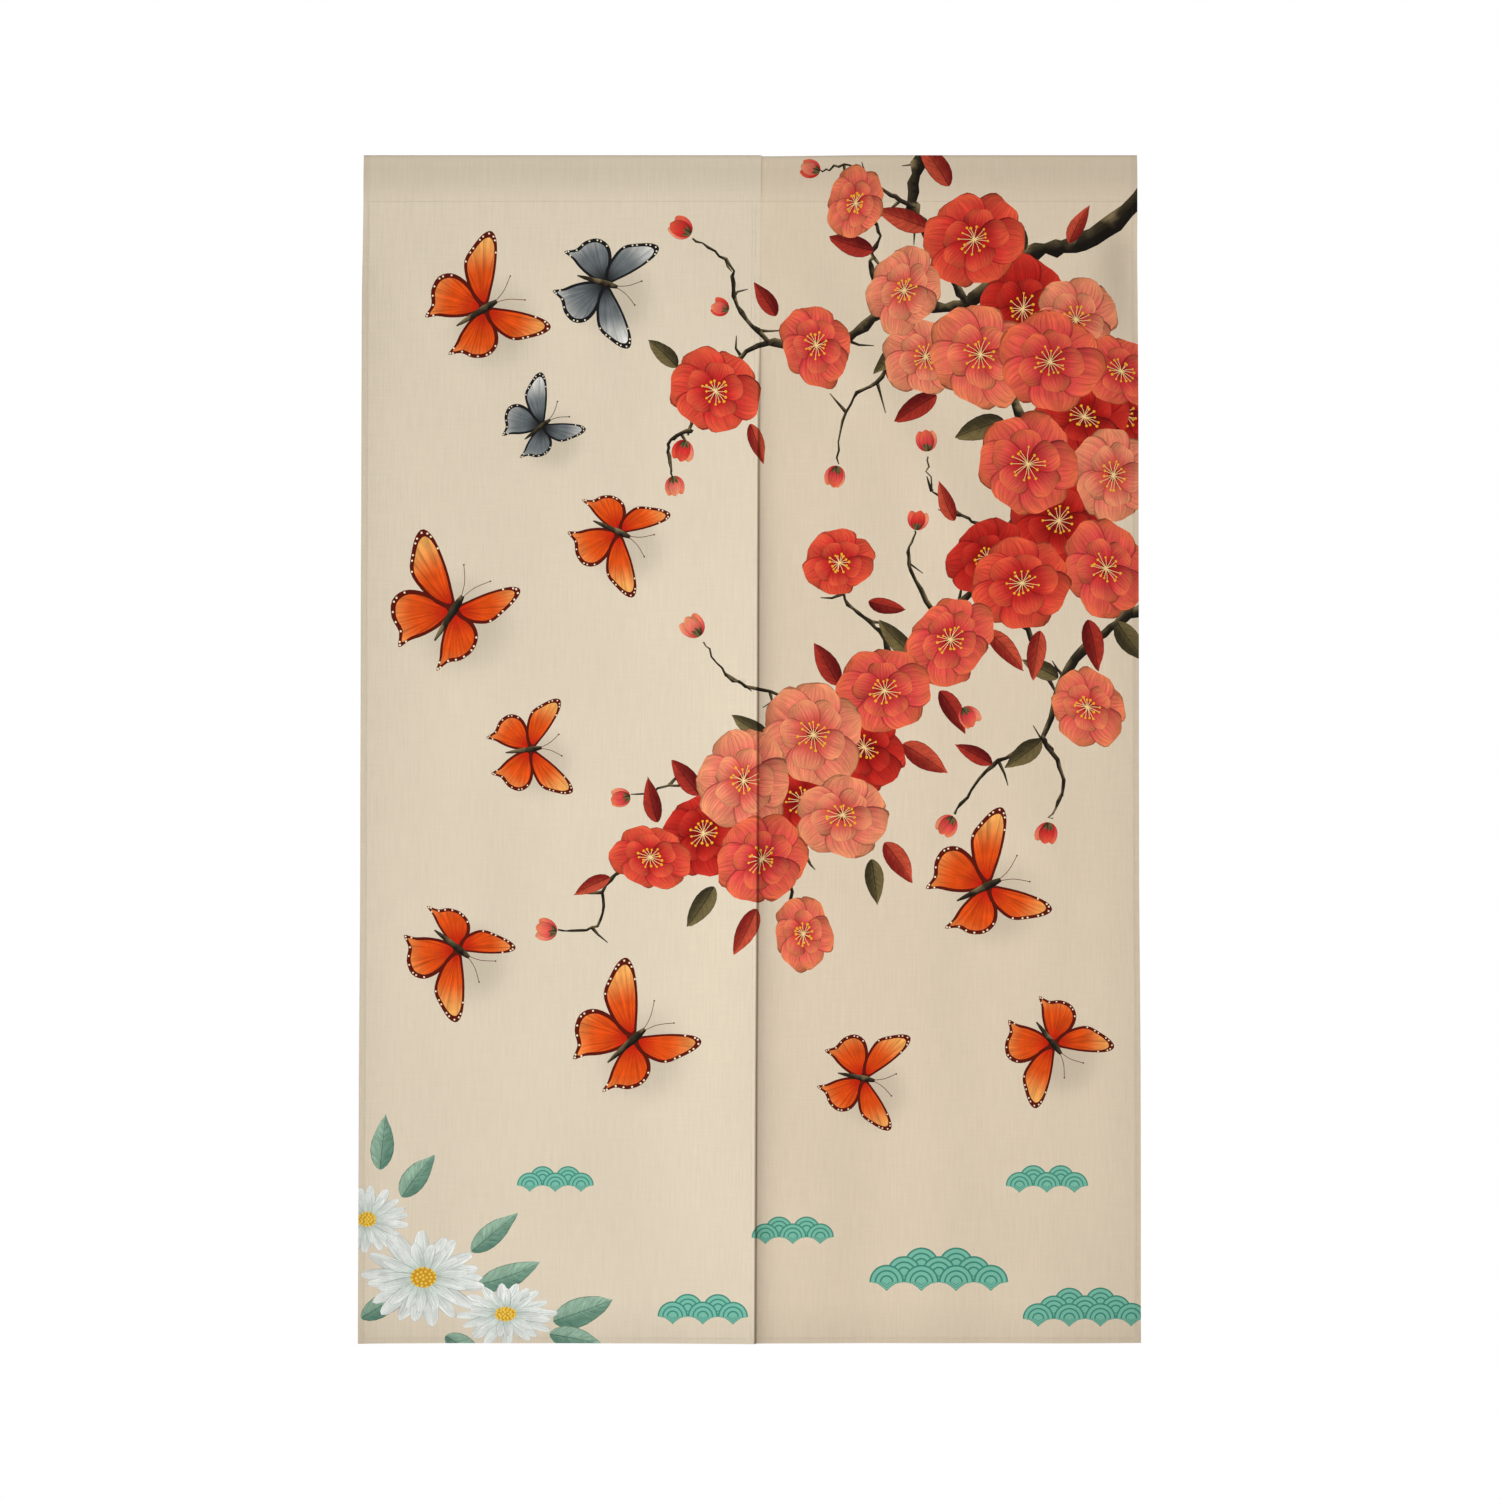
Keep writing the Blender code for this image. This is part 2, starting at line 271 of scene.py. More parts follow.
# Blossoms, back ones first. depth is 1 for one that lies in the shade of the others
BLOSSOMS = table("x down radius turn tilt tilt_turn depth", [
    (0.300, 0.168, 0.056, 47, 0.90, 100, 1),
    (0.412, 0.284, 0.048, 20, 0.80, 60, 1),
    (0.368, 0.286, 0.054, 5, 0.84, 20, 1),
    (0.340, 0.400, 0.058, 33, 0.92, 75, 1),
    (0.262, 0.440, 0.046, 60, 0.80, 140, 1),
    (0.060, 0.706, 0.054, 28, 0.90, 10, 1),
    (0.128, 0.648, 0.050, 8, 0.82, 45, 1),
    (-0.048, 0.742, 0.050, 50, 0.84, 120, 1),
    (0.194, 0.220, 0.046, 30, 0.94, 10, 0),
    (0.246, 0.092, 0.056, 55, 0.86, 150, 0),
    (0.358, 0.180, 0.050, 18, 0.90, 80, 0),
    (0.408, 0.236, 0.048, 66, 0.78, 30, 0),
    (0.254, 0.218, 0.058, 22, 0.92, 60, 0),
    (0.330, 0.226, 0.056, 40, 0.96, 0, 0),
    (0.170, 0.148, 0.048, 10, 0.82, 110, 0),
    (0.400, 0.350, 0.052, 36, 0.90, 95, 0),
    (0.306, 0.338, 0.060, 62, 0.94, 40, 0),
    (0.392, 0.452, 0.054, 14, 0.86, 65, 0),
    (0.300, 0.468, 0.056, 44, 0.90, 165, 0),
    (0.222, 0.530, 0.052, 26, 0.84, 125, 0),
    (0.150, 0.586, 0.050, 70, 0.92, 15, 0),
    (0.072, 0.634, 0.058, 16, 0.94, 55, 0),
    (-0.004, 0.684, 0.056, 52, 0.90, 90, 0),
    (0.104, 0.722, 0.052, 34, 0.86, 5, 0),
    (0.016, 0.770, 0.052, 4, 0.88, 135, 0),
    (-0.106, 0.768, 0.044, 58, 0.80, 20, 0),
    (0.074, 0.208, 0.046, 24, 0.84, 70, 0),
    (-0.036, 0.258, 0.050, 48, 0.92, 35, 0),
    (0.116, 0.052, 0.040, 38, 0.78, 100, 0),
    (0.372, 0.604, 0.044, 12, 0.86, 50, 0),
    (0.062, 0.852, 0.040, 64, 0.82, 80, 0),
    (0.100, 0.446, 0.040, 30, 0.88, 145, 0),
])

BUDS = table("x down length turn", [
    (-0.064, 0.086, 0.026, 150),
    (-0.068, 0.312, 0.024, -110),
    (-0.052, 0.526, 0.026, 125),
    (-0.128, 0.702, 0.022, -175),
    (0.196, 0.324, 0.024, 95),
    (-0.022, 0.170, 0.020, 160),
    (0.236, 0.604, 0.024, -60),
    (0.076, 0.018, 0.022, 160),
    (-0.082, 0.351, 0.022, -80),
    (0.098, 0.340, 0.024, -105),
    (0.184, 0.410, 0.022, 80),
    (0.330, 0.730, 0.024, -100),
    (0.226, 0.724, 0.024, -130),
    (-0.208, 0.850, 0.024, 170),
])

LEAVES = table("x down length turn", [
    (0.196, 0.080, 0.062, 160),
    (0.178, 0.196, 0.060, -130),
    (0.206, 0.262, 0.056, -150),
    (0.350, 0.096, 0.046, 70),
    (0.280, 0.290, 0.058, -165),
    (0.372, 0.508, 0.058, -75),
    (0.262, 0.520, 0.060, -40),
    (0.182, 0.548, 0.056, 140),
    (0.100, 0.580, 0.054, 120),
    (0.170, 0.644, 0.058, -30),
    (0.026, 0.640, 0.052, 150),
    (-0.052, 0.700, 0.050, 130),
    (0.150, 0.752, 0.054, -50),
    (-0.036, 0.800, 0.054, -120),
    (0.030, 0.176, 0.044, 120),
    (0.002, 0.294, 0.046, -70),
    (0.340, 0.572, 0.044, 150),
    (0.132, 0.488, 0.042, -20),
    (0.218, 0.034, 0.060, 120),
    (0.302, 0.104, 0.050, 118),
    (0.136, 0.104, 0.052, 170),
    (0.320, 0.520, 0.056, -100),
    (0.404, 0.510, 0.056, -60),
    (0.210, 0.586, 0.054, -50),
    (0.010, 0.824, 0.056, -110),
    (0.136, 0.770, 0.050, -80),
    (-0.098, 0.730, 0.050, 110),
    (-0.150, 0.790, 0.044, 200),
    (0.322, 0.640, 0.050, -140),
    (0.268, 0.666, 0.046, 150),
    (0.150, 0.238, 0.046, -20),
    (-0.078, 0.232, 0.044, 130),
    (0.420, 0.270, 0.056, -20),
    (0.226, 0.400, 0.046, 120),
])

BUTTERFLIES = table("x down wing turn near far tones", [
    (-0.290, 0.168, 0.070, 32, 1.00, 0.82, "red"),
    (-0.142, 0.412, 0.060, -24, 0.70, 1.00, "red"),
    (-0.322, 0.498, 0.078, 58, 1.00, 0.66, "red"),
    (-0.238, 0.650, 0.054, 8, 0.94, 1.00, "red"),
    (-0.316, 0.868, 0.066, -38, 0.62, 1.00, "red"),
    (0.262, 0.800, 0.072, 26, 1.00, 0.78, "red"),
    (0.336, 0.972, 0.060, -52, 0.86, 1.00, "red"),
    (-0.124, 0.968, 0.074, 42, 1.00, 0.72, "red"),
    (0.128, 1.010, 0.056, -12, 1.00, 0.90, "red"),
    (-0.158, 0.140, 0.062, -16, 0.90, 1.00, "grey"),
    (-0.226, 0.296, 0.048, 38, 1.00, 0.70, "grey"),
])

# Groups of wave scallops. radius is that of one scallop
WAVES = table("x down radius rows", [
    (0.212, 1.214, 0.0190, 2),
    (0.330, 1.120, 0.0150, 1),
    (0.052, 1.176, 0.0150, 1),
    (0.372, 1.256, 0.0170, 2),
    (-0.046, 1.262, 0.0165, 1),
    (-0.208, 1.120, 0.0140, 1),
])

DAISIES = table("x down radius turn tilt", [
    (-0.262, 1.268, 0.056, 8, 0.66),
    (-0.414, 1.164, 0.048, 3, 0.80),
    (-0.352, 1.228, 0.068, 0, 0.78),
])

DAISY_LEAVES = table("x down length turn", [
    (-0.300, 1.200, 0.066, 40),
    (-0.292, 1.236, 0.072, 12),
    (-0.210, 1.276, 0.070, 18),
    (-0.214, 1.290, 0.060, -8),
    (-0.400, 1.110, 0.060, 84),
    (-0.376, 1.140, 0.058, 58),
    (-0.420, 1.272, 0.062, 30),
    (-0.328, 1.292, 0.058, -30),
])

# Half a butterfly, outward and forward, for a wing of length 1
FOREWING = [
    (0.00, 0.02), (0.16, 0.22), (0.44, 0.48), (0.76, 0.70), (0.96, 0.74), (1.00, 0.60), (0.92, 0.36),
    (0.80, 0.14), (0.56, 0.02), (0.26, -0.04)]
HINDWING = [
    (0.00, 0.00), (0.26, 0.02), (0.54, -0.02), (0.74, -0.14), (0.80, -0.34), (0.68, -0.54), (0.48, -0.66),
    (0.38, -0.84), (0.30, -0.68), (0.16, -0.50), (0.04, -0.26)]


# Helpers

def linked(name, data):
    """An object with some data, in the scene."""
    thing = bpy.data.objects.new(name, data)
    bpy.context.scene.collection.objects.link(thing)
    return thing


def smoothstep(low, high, value):
    share = np.clip((value - low) / (high - low), 0.0, 1.0)
    return share * share * (3 - 2 * share)


def bell(distance, width):
    """1 at no distance, and smoothly down to 0 on both sides."""
    return np.exp(-((distance / width) ** 2))


def blend(first, second, share):
    """Colours from first to second, one for each share."""
    return first + (second - first) * np.asarray(share)[:, None]


def units(vectors):
    """The vectors' directions, each 1 long."""
    return vectors / np.maximum(np.linalg.norm(vectors, axis=1, keepdims=True), 1e-9)


# The cloth as it hangs

def swing(side, down):
    """How far an outer edge swings outward."""
    return np.interp(down, [row["down"] for row in SWING], [row[side] for row in SWING])


def distance_to_fold(fold, x, down):
    run_x = fold["to_x"] - fold["x"]
    run_down = fold["to_down"] - fold["down"]
    share = ((x - fold["x"]) * run_x + (down - fold["down"]) * run_down) / (run_x**2 + run_down**2)
    share = np.clip(share, 0.0, 1.0)
    return np.hypot(x - fold["x"] - share * run_x, down - fold["down"] - share * run_down)


def folds_forward(x, down):
    """How far the folds stand forward of the plane through the top fold."""
    forward = np.zeros_like(x)
    for fold in FOLDS:
        forward += fold["height"] * bell(distance_to_fold(fold, x, down), fold["half_width"])
    for wave in UNEVEN:
        forward += wave["height"] * np.sin(wave["per_x"] * x + wave["per_down"] * down + wave["phase"])
    return forward * smoothstep(FOLD_START, FOLD_FULL, down)


def curl_back(x, down):
    """How far the outer edges curl back."""
    from_edges = {
        "left": x - LEFT_EDGE_TOP + swing("left", down),
        "right": RIGHT_EDGE_TOP + swing("right", down) - x,
    }
    back = np.zeros_like(x)
    for side, curl in EDGE_CURLS.items():
        share = np.maximum(0.0, 1 - from_edges[side] / curl["width"])
        back += curl["back"] * share ** curl["sharpness"]
    corner = CORNER_CURL_BACK * bell(from_edges["right"] - CORNER_CURL_INSET, CORNER_CURL_WIDTH)
    corner = corner * bell(down - CORNER_CURL_DROP, CORNER_CURL_REACH)
    corner = corner * smoothstep(FOLD_START, CORNER_CURL_FULL, down)
    return back * smoothstep(FOLD_START, FOLD_FULL, down) + corner


def from_slit(x, down):
    """Distance leftward from the left panel's slit edge."""
    return LEFT_EDGE_TOP - swing("left", down) + PANEL_WIDTH - x


def lap_share(side, x):
    """1 where the two panels lie on each other, falling to 0 away from there."""
    away = -x if side == "left" else x
    return 1 - smoothstep(LAP_RAMP_FROM, LAP_RAMP_TO, away)


def lap_forward(side, x, down):
    """The left panel's share of the gap in front of the overlap, or the right panel's share behind it.

    Where they are sewn together their faces are level. The right one lies deeper only under the left one.
    """
    free = SEAM_OPENS_SHARE * smoothstep(*SEAM_OPENS, down)
    free += (1 - SEAM_OPENS_SHARE) * smoothstep(*LAP_HANGS_FREE, down)
    gap = LAP_AT_HEM * free
    if side == "left":
        share = np.clip(1 - from_slit(x, down) / LAP_RAMP_TO, 0.0, 1.0)
        return LEFT_LAP_SHARE * gap * share**LAP_SHARPNESS
    sewn = SEAM_EDGE_GAP + (SEAM_GAP - SEAM_EDGE_GAP) * smoothstep(0.0, SEAM_PRESS, from_slit(x, down))
    return -(sewn * (1 - free) + (1 - LEFT_LAP_SHARE) * gap) * lap_share(side, x)


def slit_shape(side, x, down):
    """How far the cloth stands forward along the slit: the left hem's crest and roll, or the right swell."""
    away = from_slit(x, down)
    if side == "right":
        return SWELL * bell(away - SWELL_AT, SWELL_WIDTH) * smoothstep(*ROLL_FROM, down)
    rolled = ROLL * np.clip(1 - away / ROLL_WIDTH, 0.0, 1.0) ** ROLL_SHARPNESS
    crest = ROLL_CREST * bell(away - ROLL_CREST_AT, ROLL_CREST_WIDTH)
    return (crest - rolled) * smoothstep(*ROLL_FROM, down)


def pucker_along(row, along):
    """The waves along a row of stitches."""
    return sum(share * np.sin(rate * along + phase) for rate, phase, share in PUCKER_WAVES[row])


def pucker(across, down):
    """Small waves that the stitches draw into the cloth beside them."""
    beside_hem = np.minimum(across, PANEL_WIDTH - across) - HEM_WIDTH
    forward = bell(beside_hem, PUCKER_REACH) * pucker_along("side", down)
    forward += bell(DROP - HEM_WIDTH - down, PUCKER_REACH) * pucker_along("foot", across)
    forward += bell(down - SLEEVE_HEIGHT, 2 * PUCKER_REACH) * pucker_along("heading", across)
    return PUCKER * forward * smoothstep(SLEEVE_HEIGHT, SLEEVE_HEIGHT + HEM_WIDTH, down)


def cloth_points(side, across, down):
    """Points of a panel's middle surface, from the sleeve's back over the top fold and down to the foot."""
    below = np.maximum(down, 0.0)
    if side == "left":
        x = LEFT_EDGE_TOP - swing("left", below) + across
    else:
        x = RIGHT_EDGE_TOP + swing("right", below) - across
    from_fold = np.abs(down) / SLEEVE_HEIGHT
    in_sleeve = np.clip(from_fold, 0.0, 1.0)
    bulge = SLEEVE_BULGE * BULGE_SCALE * np.sqrt(in_sleeve) * (1 - in_sleeve) ** BULGE_FALL
    settled = smoothstep(0.0, 1.0, from_fold)
    lapped = lap_share(side, x)

    forward = folds_forward(x, below) - curl_back(x, below) + pucker(across, down)
    forward += lap_forward(side, x, below) * settled + slit_shape(side, x, below)
    outer_hem = 1 - smoothstep(HEM_WIDTH, FLAP_GAP_REACH, across)
    flap_gap = FLAP_GAP + (FLAP_GAP_AT_HEM - FLAP_GAP) * outer_hem + FLAP_GAP_AT_LAP[side] * lapped
    top_drop = np.zeros_like(x)
    if side == "right":
        bulge = bulge * (1 - INNER_LOOP_SHARE * lapped)
        top_drop = INNER_LOOP_DROP * lapped * (1 - in_sleeve)
    y = np.where(down < 0, bulge + flap_gap * settled, -forward - bulge)
    return np.stack([x, y, -np.abs(down) - top_drop], axis=1)


def cloth_frames(side, across, down):
    """The middle surface's points, and its unit directions: rightward, downward along it, and backward."""
    step = 0.0001
    points = cloth_points(side, across, down)
    rightward = cloth_points(side, across + step, down) - cloth_points(side, across - step, down)
    if side == "right":
        rightward = -rightward
    downward = units(cloth_points(side, across, down + step) - cloth_points(side, across, down - step))
    rightward = units(rightward)
    return points, rightward, downward, units(np.cross(rightward, downward))


def hem_band(from_edge):
    """1 in a doubled band along an edge, and 0 in the single cloth."""
    return 1 - smoothstep(HEM_WIDTH, HEM_WIDTH + HEM_STEP, from_edge)


def hem_share(across, down):
    """1 in the doubled bands at the sides and the foot, and 0 in the single cloth."""
    slit_side = hem_band(PANEL_WIDTH - across) * smoothstep(*SLIT_HEM, down)
    return np.maximum.reduce([hem_band(across), slit_side, hem_band(DROP - down)])


def thickness(side, across, down):
    """The cloth's thickness, with its hems doubled and their outer edges rounded."""
    from_edge = np.minimum(np.minimum(across, PANEL_WIDTH - across), DROP - down)
    hem = HEM_EDGE_CLOTH + (HEM_CLOTH - HEM_EDGE_CLOTH) * smoothstep(0.0, HEM_STEP, from_edge)
    cloth = CLOTH + (hem - CLOTH) * hem_share(across, down)
    if side == "left":
        pressed = 1 - smoothstep(0.0, SEAM_PRESS, PANEL_WIDTH - across)
        pressed *= smoothstep(0.0, HEM_STEP, down - SLEEVE_HEIGHT) * (1 - smoothstep(*SLIT_HEM, down))
        cloth += (SEAM_EDGE_CLOTH - CLOTH) * pressed
    return cloth


# The print's shapes. Each has an outline, some points inside it, and a paint: a function from places
# to colours and to fine lines. A line's first number counts the lines beside each other, its second
# runs along them, and its third is how strongly they are drawn.

def turned(degrees):
    """Rotation on the flat cloth, anticlockwise as the viewer sees it, where down counts downward."""
    angle = math.radians(degrees)
    return np.array([[math.cos(angle), -math.sin(angle)], [-math.sin(angle), -math.cos(angle)]])


def axes_of(turn, length, tilt=1.0, tilt_turn=0.0):
    """The flat cloth's axes for a motif's own: turned, sized, and foreshortened in one direction."""
    angle = math.radians(tilt_turn)
    lean = np.array([[math.cos(angle), -math.sin(angle)], [math.sin(angle), math.cos(angle)]])
    return lean @ np.diag([1.0, tilt]) @ lean.T @ turned(turn) * length


def place_of(row):
    return np.array([row["x"], row["down"]])


def placed(own, origin, axes):
    return np.asarray(own) @ axes.T + origin


def own_places(places, origin, axes):
    return (places - origin) @ np.linalg.inv(axes).T


def smooth_run(corners, steps, closed):
    """A smooth line through a few corners, with some steps between each two."""
    corners = np.asarray(corners, float)
    count = len(corners)
    share = np.linspace(0.0, 1.0, steps, endpoint=False)[:, None]
    runs = []
    for index in range(count if closed else count - 1):
        near = [index - 1, index, index + 1, index + 2]
        near = [spot % count if closed else min(max(spot, 0), count - 1) for spot in near]
        before, start, end, after = corners[near]
        slope = (end - before) * share
        bend = (2 * before - 5 * start + 4 * end - after) * share**2
        twist = (3 * start - before - 3 * end + after) * share**3
        runs.append(start + 0.5 * (slope + bend + twist))
    if not closed:
        runs.append(corners[-1:])
    return np.concatenate(runs)


def doubled_area(outline):
    """Twice the area in an outline, above 0 where the viewer sees it run anticlockwise."""
    after = np.roll(outline, -1, axis=0)
    return np.sum(outline[:, 1] * after[:, 0] - outline[:, 0] * after[:, 1])


def anticlockwise(outline):
    return outline if doubled_area(outline) > 0 else outline[::-1]


def grown(outline, margin):
    """A closed outline moved outward all round."""
    ahead = np.roll(outline, -1, axis=0) - np.roll(outline, 1, axis=0)
    outward = units(np.stack([-ahead[:, 1], ahead[:, 0]], axis=1))
    return outline + outward * margin * np.sign(doubled_area(outline))


def disc(centre, radius, sides):
    angle = np.linspace(0.0, 2 * math.pi, sides, endpoint=False)
    return np.stack([np.cos(angle), np.sin(angle)], axis=1) * radius + centre


def ribbon(line, half_widths):
    """A closed outline that runs up one side of a line and back down its other side."""
    ahead = np.gradient(line, axis=0)
    offset = units(np.stack([ahead[:, 1], -ahead[:, 0]], axis=1)) * np.asarray(half_widths)[:, None]
    return np.concatenate([line + offset, (line - offset)[::-1]])


def paint_rows(colour, rim=0.0, line=0.0, run=0.0, strength=0.0):
    """A paint's numbers for each place: its colour, 1 at a dark rim, and its fine lines."""
    rows = np.empty((len(colour), PAINT_COLUMNS))
    rows[:, :3] = colour
    for column, values in enumerate((rim, line, run, strength), start=3):
        rows[:, column] = values
    return rows


def flat_paint(colour, places):
    return paint_rows(np.tile(colour, (len(places), 1)))


def shape(outline, paint, inner=()):
    return {"outline": anticlockwise(outline), "paint": paint, "inner": np.reshape(inner, (-1, 2))}


def plain(outline, colour):
    """A shape in one colour."""
    return shape(outline, partial(flat_paint, colour))


# Blades: petals and leaves, each 1 long, along their own first axis
BLADES = {row["kind"]: row for row in table("kind rise fall steps bend ruffle veins", [
    ("petal", 0.80, 0.42, 28, 0.10, 0.034, 4.5),
    ("bud", 0.62, 0.66, 16, 0.10, 0.010, 3.0),
    ("daisy", 0.62, 0.50, 14, 0.10, 0.012, 2.0),
    ("leaf", 0.66, 0.98, 20, 0.16, 0.020, 7.0),
])}
INNER_ALONG = (0.14, 0.34, 0.56, 0.78, 0.92)
INNER_ACROSS = (-0.55, 0.0, 0.55)
LINE_STRENGTH = 0.9


def blade_half_width(kind, along):
    """Half a blade's width along it, 1 where it is widest."""
    rise = BLADES[kind]["rise"]
    fall = BLADES[kind]["fall"]
    peak = rise / (rise + fall)
    along = np.clip(along, 0.0, 1.0)
    return along**rise * (1 - along) ** fall / (peak**rise * (1 - peak) ** fall)


def new_blade(kind, width, origin, axes, rng):
    """A blade with a bend and a ruffle of its own."""
    bend = rng.uniform(-BLADES[kind]["bend"], BLADES[kind]["bend"])
    phase = rng.uniform(0, 6.28)
    return {"kind": kind, "width": width, "origin": origin, "axes": axes, "bend": bend, "phase": phase}


def on_blade(blade, along, across, swell=1.0):
    """Places on a blade, from shares along it, 0 to 1, and across it, -1 to 1."""
    half = 0.5 * blade["width"] * blade_half_width(blade["kind"], along)
    own = np.stack([along * swell, across * half * swell + blade["bend"] * along**2], axis=1)
    return placed(own, blade["origin"], blade["axes"])


def blade_shares(blade, places):
    """The shares along and across a blade, from places on it."""
    own = own_places(places, blade["origin"], blade["axes"])
    along = np.clip(own[:, 0], 0.0, 1.0)
    half = np.maximum(0.5 * blade["width"] * blade_half_width(blade["kind"], along), 0.02)
    return along, np.clip((own[:, 1] - blade["bend"] * along**2) / half, -1.0, 1.0)


def blade_shape(blade, paint):
    kind = BLADES[blade["kind"]]
    turn = np.linspace(0.0, 2 * math.pi, kind["steps"], endpoint=False)
    along = 0.5 - 0.5 * np.cos(turn)
    across = np.where(turn < math.pi, 1.0, -1.0)
    ripple = np.sin(3 * turn + blade["phase"]) + 0.6 * np.sin(7 * turn + 2 * blade["phase"])
    outline = on_blade(blade, along, across, 1 + kind["ruffle"] * ripple * along)
    inner_along, inner_across = np.meshgrid(INNER_ALONG, INNER_ACROSS, indexing="ij")
    inner = on_blade(blade, inner_along.ravel(), inner_across.ravel())
    return shape(outline, partial(paint, blade), inner)


def petal_paint(look, blade, places):
    """A petal: dark at its heart, paler at its tip and edges, with one side in shade and a soft crease."""
    along, across = blade_shares(blade, places)
    tones = look["tones"]
    colour = blend(tones["heart"], tones["middle"], smoothstep(0.0, look["heart_reach"], along))
    paleness = smoothstep(0.45, 1.0, along) * (0.6 + 0.4 * np.abs(across))
    colour = blend(colour, tones["tip"], paleness)
    shade = 1 - look["shade"] * np.clip(across * look["side"], 0.0, 1.0)
    shade *= 1 - look["crease"] * bell(across, 0.2) * (1 - 0.6 * along)
    rim = np.where(along > 0.985, 1.0, np.abs(across))
    line = across * BLADES[blade["kind"]]["veins"] + look["seed"]
    return paint_rows(colour * shade[:, None], rim, line, along + look["seed"], LINE_STRENGTH)


def petal(kind, width, origin, axes, look, rng):
    return blade_shape(new_blade(kind, width, origin, axes, rng), partial(petal_paint, look))


def leaf_paint(tones, seed, blade, places):
    """A leaf: one half lighter than the other, with side veins."""
    along, across = blade_shares(blade, places)
    share = 0.35 + 0.4 * np.tanh(across * 4) + 0.25 * along
    colour = blend(tones["dark"], tones["light"], np.clip(share, 0.0, 1.0))
    beside = np.abs(across)
    line = along * BLADES["leaf"]["veins"] - beside * 1.4 + seed
    return paint_rows(colour, beside, line, beside + seed, LINE_STRENGTH)


LEAF_WIDTHS = (0.36, 0.46)
RIB_ALONG = np.linspace(0.02, 0.92, 6)
RIB_HALF_WIDTHS = np.linspace(0.0005, 0.0002, 6)


def leaf(row, tones, rng):
    """A leaf and its rib."""
    width = rng.uniform(*LEAF_WIDTHS)
    blade = new_blade("leaf", width, place_of(row), axes_of(row["turn"], row["length"]), rng)
    rib = on_blade(blade, RIB_ALONG, np.zeros(len(RIB_ALONG)))
    return [
        blade_shape(blade, partial(leaf_paint, tones, rng.uniform(0, 50))),
        plain(ribbon(rib, RIB_HALF_WIDTHS), tones["dark"] * 0.6),
    ]


def bark_paint(line, half_widths, seed, places):
    """Brushed bark: olive on the side toward the light, ink on the other, in streaks along the bough."""
    gaps = np.linalg.norm(places[:, None, :] - line[None, :, :], axis=2)
    nearest = np.argmin(gaps, axis=1)
    ahead = units(np.gradient(line, axis=0)[nearest])
    offset = places - line[nearest]
    beside = (offset[:, 0] * ahead[:, 1] - offset[:, 1] * ahead[:, 0]) / half_widths[nearest]
    upward = beside * np.where(ahead[:, 0] < 0, -1.0, 1.0)
    run = np.concatenate([[0.0], np.cumsum(np.linalg.norm(np.diff(line, axis=0), axis=1))])[nearest]
    patches = smoothstep(-0.3, 0.8, np.sin(run * 190 + seed) * np.sin(run * 67 + 2 * seed))
    colour = blend(INK, BARK_LIGHT, smoothstep(-0.2, 0.9, upward) * (0.15 + 0.75 * patches))
    return paint_rows(colour, 0.0, beside * 1.7 + seed, run * 60, 1.0)


def bark(line, half_widths, seed, inner=()):
    """A ribbon of bark along a line."""
    return shape(ribbon(line, half_widths), partial(bark_paint, line, half_widths, seed), inner)


BOUGH_GIRTH = 1.25
BOUGH_KNOTS = (0.70, 1.36)      # how much a bough's width goes up and down along it
BOUGH_WOBBLE = 0.0014
SPUR_PITCH = 6                  # in steps of the bough's line
SPUR_LENGTHS = (0.014, 0.036)
SPUR_HALF_WIDTHS = np.array([0.0022, 0.0013, 0.0005])


def bough(row, rng):
    """A gnarled bough with short dead spurs."""
    line = smooth_run(row["by"], 7, closed=False)
    count = len(line)
    wobble = rng.normal(0.0, BOUGH_WOBBLE, line.shape)
    line = line + wobble * np.linspace(0.5, 1.0, count)[:, None]
    taper = BOUGH_GIRTH * np.linspace(row["from"], row["to"], count) / 2
    half_widths = taper * rng.uniform(*BOUGH_KNOTS, count)
    seed = rng.uniform(0, 50)
    shapes = []
    for spot in range(3, count - 3, SPUR_PITCH):
        turn = rng.uniform(0, 360)
        tip = line[spot] + turned(turn)[:, 0] * rng.uniform(*SPUR_LENGTHS)
        knee = (line[spot] + tip) / 2 + rng.normal(0.0, 0.0024, 2)
        shapes.append(bark(np.array([line[spot], knee, tip]), SPUR_HALF_WIDTHS, seed))
    return shapes + [bark(line, half_widths, seed, line)]


# A blossom's rings of petals, outer ring first
WHORLS = table("petals reach width turn heart_reach", [
    (6, 1.00, 1.02, 0, 0.70),
    (5, 0.66, 0.98, 28, 0.85),
])
HEART_SHARE = 0.13              # the dark heart's radius, as a share of the blossom's
STAMENS = 15
STAMEN_SHARES = (0.20, 0.34)
STAMEN_HALF_WIDTHS = [0.0004, 0.0003, 0.0003]
POLLEN_RADII = (0.0012, 0.0017)


def blossom(row, rng):
    tones = DEEP_PETAL_TONES if row["depth"] else PETAL_TONES[rng.integers(len(PETAL_TONES))]
    shapes = []
    for whorl in WHORLS:
        for index in range(whorl["petals"]):
            turn = row["turn"] + whorl["turn"] + 360 * index / whorl["petals"] + rng.uniform(-7, 7)
            reach = row["radius"] * whorl["reach"] * rng.uniform(0.93, 1.06)
            look = {"tones": tones, "heart_reach": whorl["heart_reach"], "side": 1.0}
            look["shade"] = rng.uniform(0.30, 0.52)
            look["crease"] = rng.uniform(0.12, 0.30)
            look["seed"] = rng.uniform(0, 50)
            axes = axes_of(turn, reach, row["tilt"], row["tilt_turn"])
            shapes.append(petal("petal", whorl["width"], place_of(row), axes, look, rng))
    return shapes + stamens(row, rng)


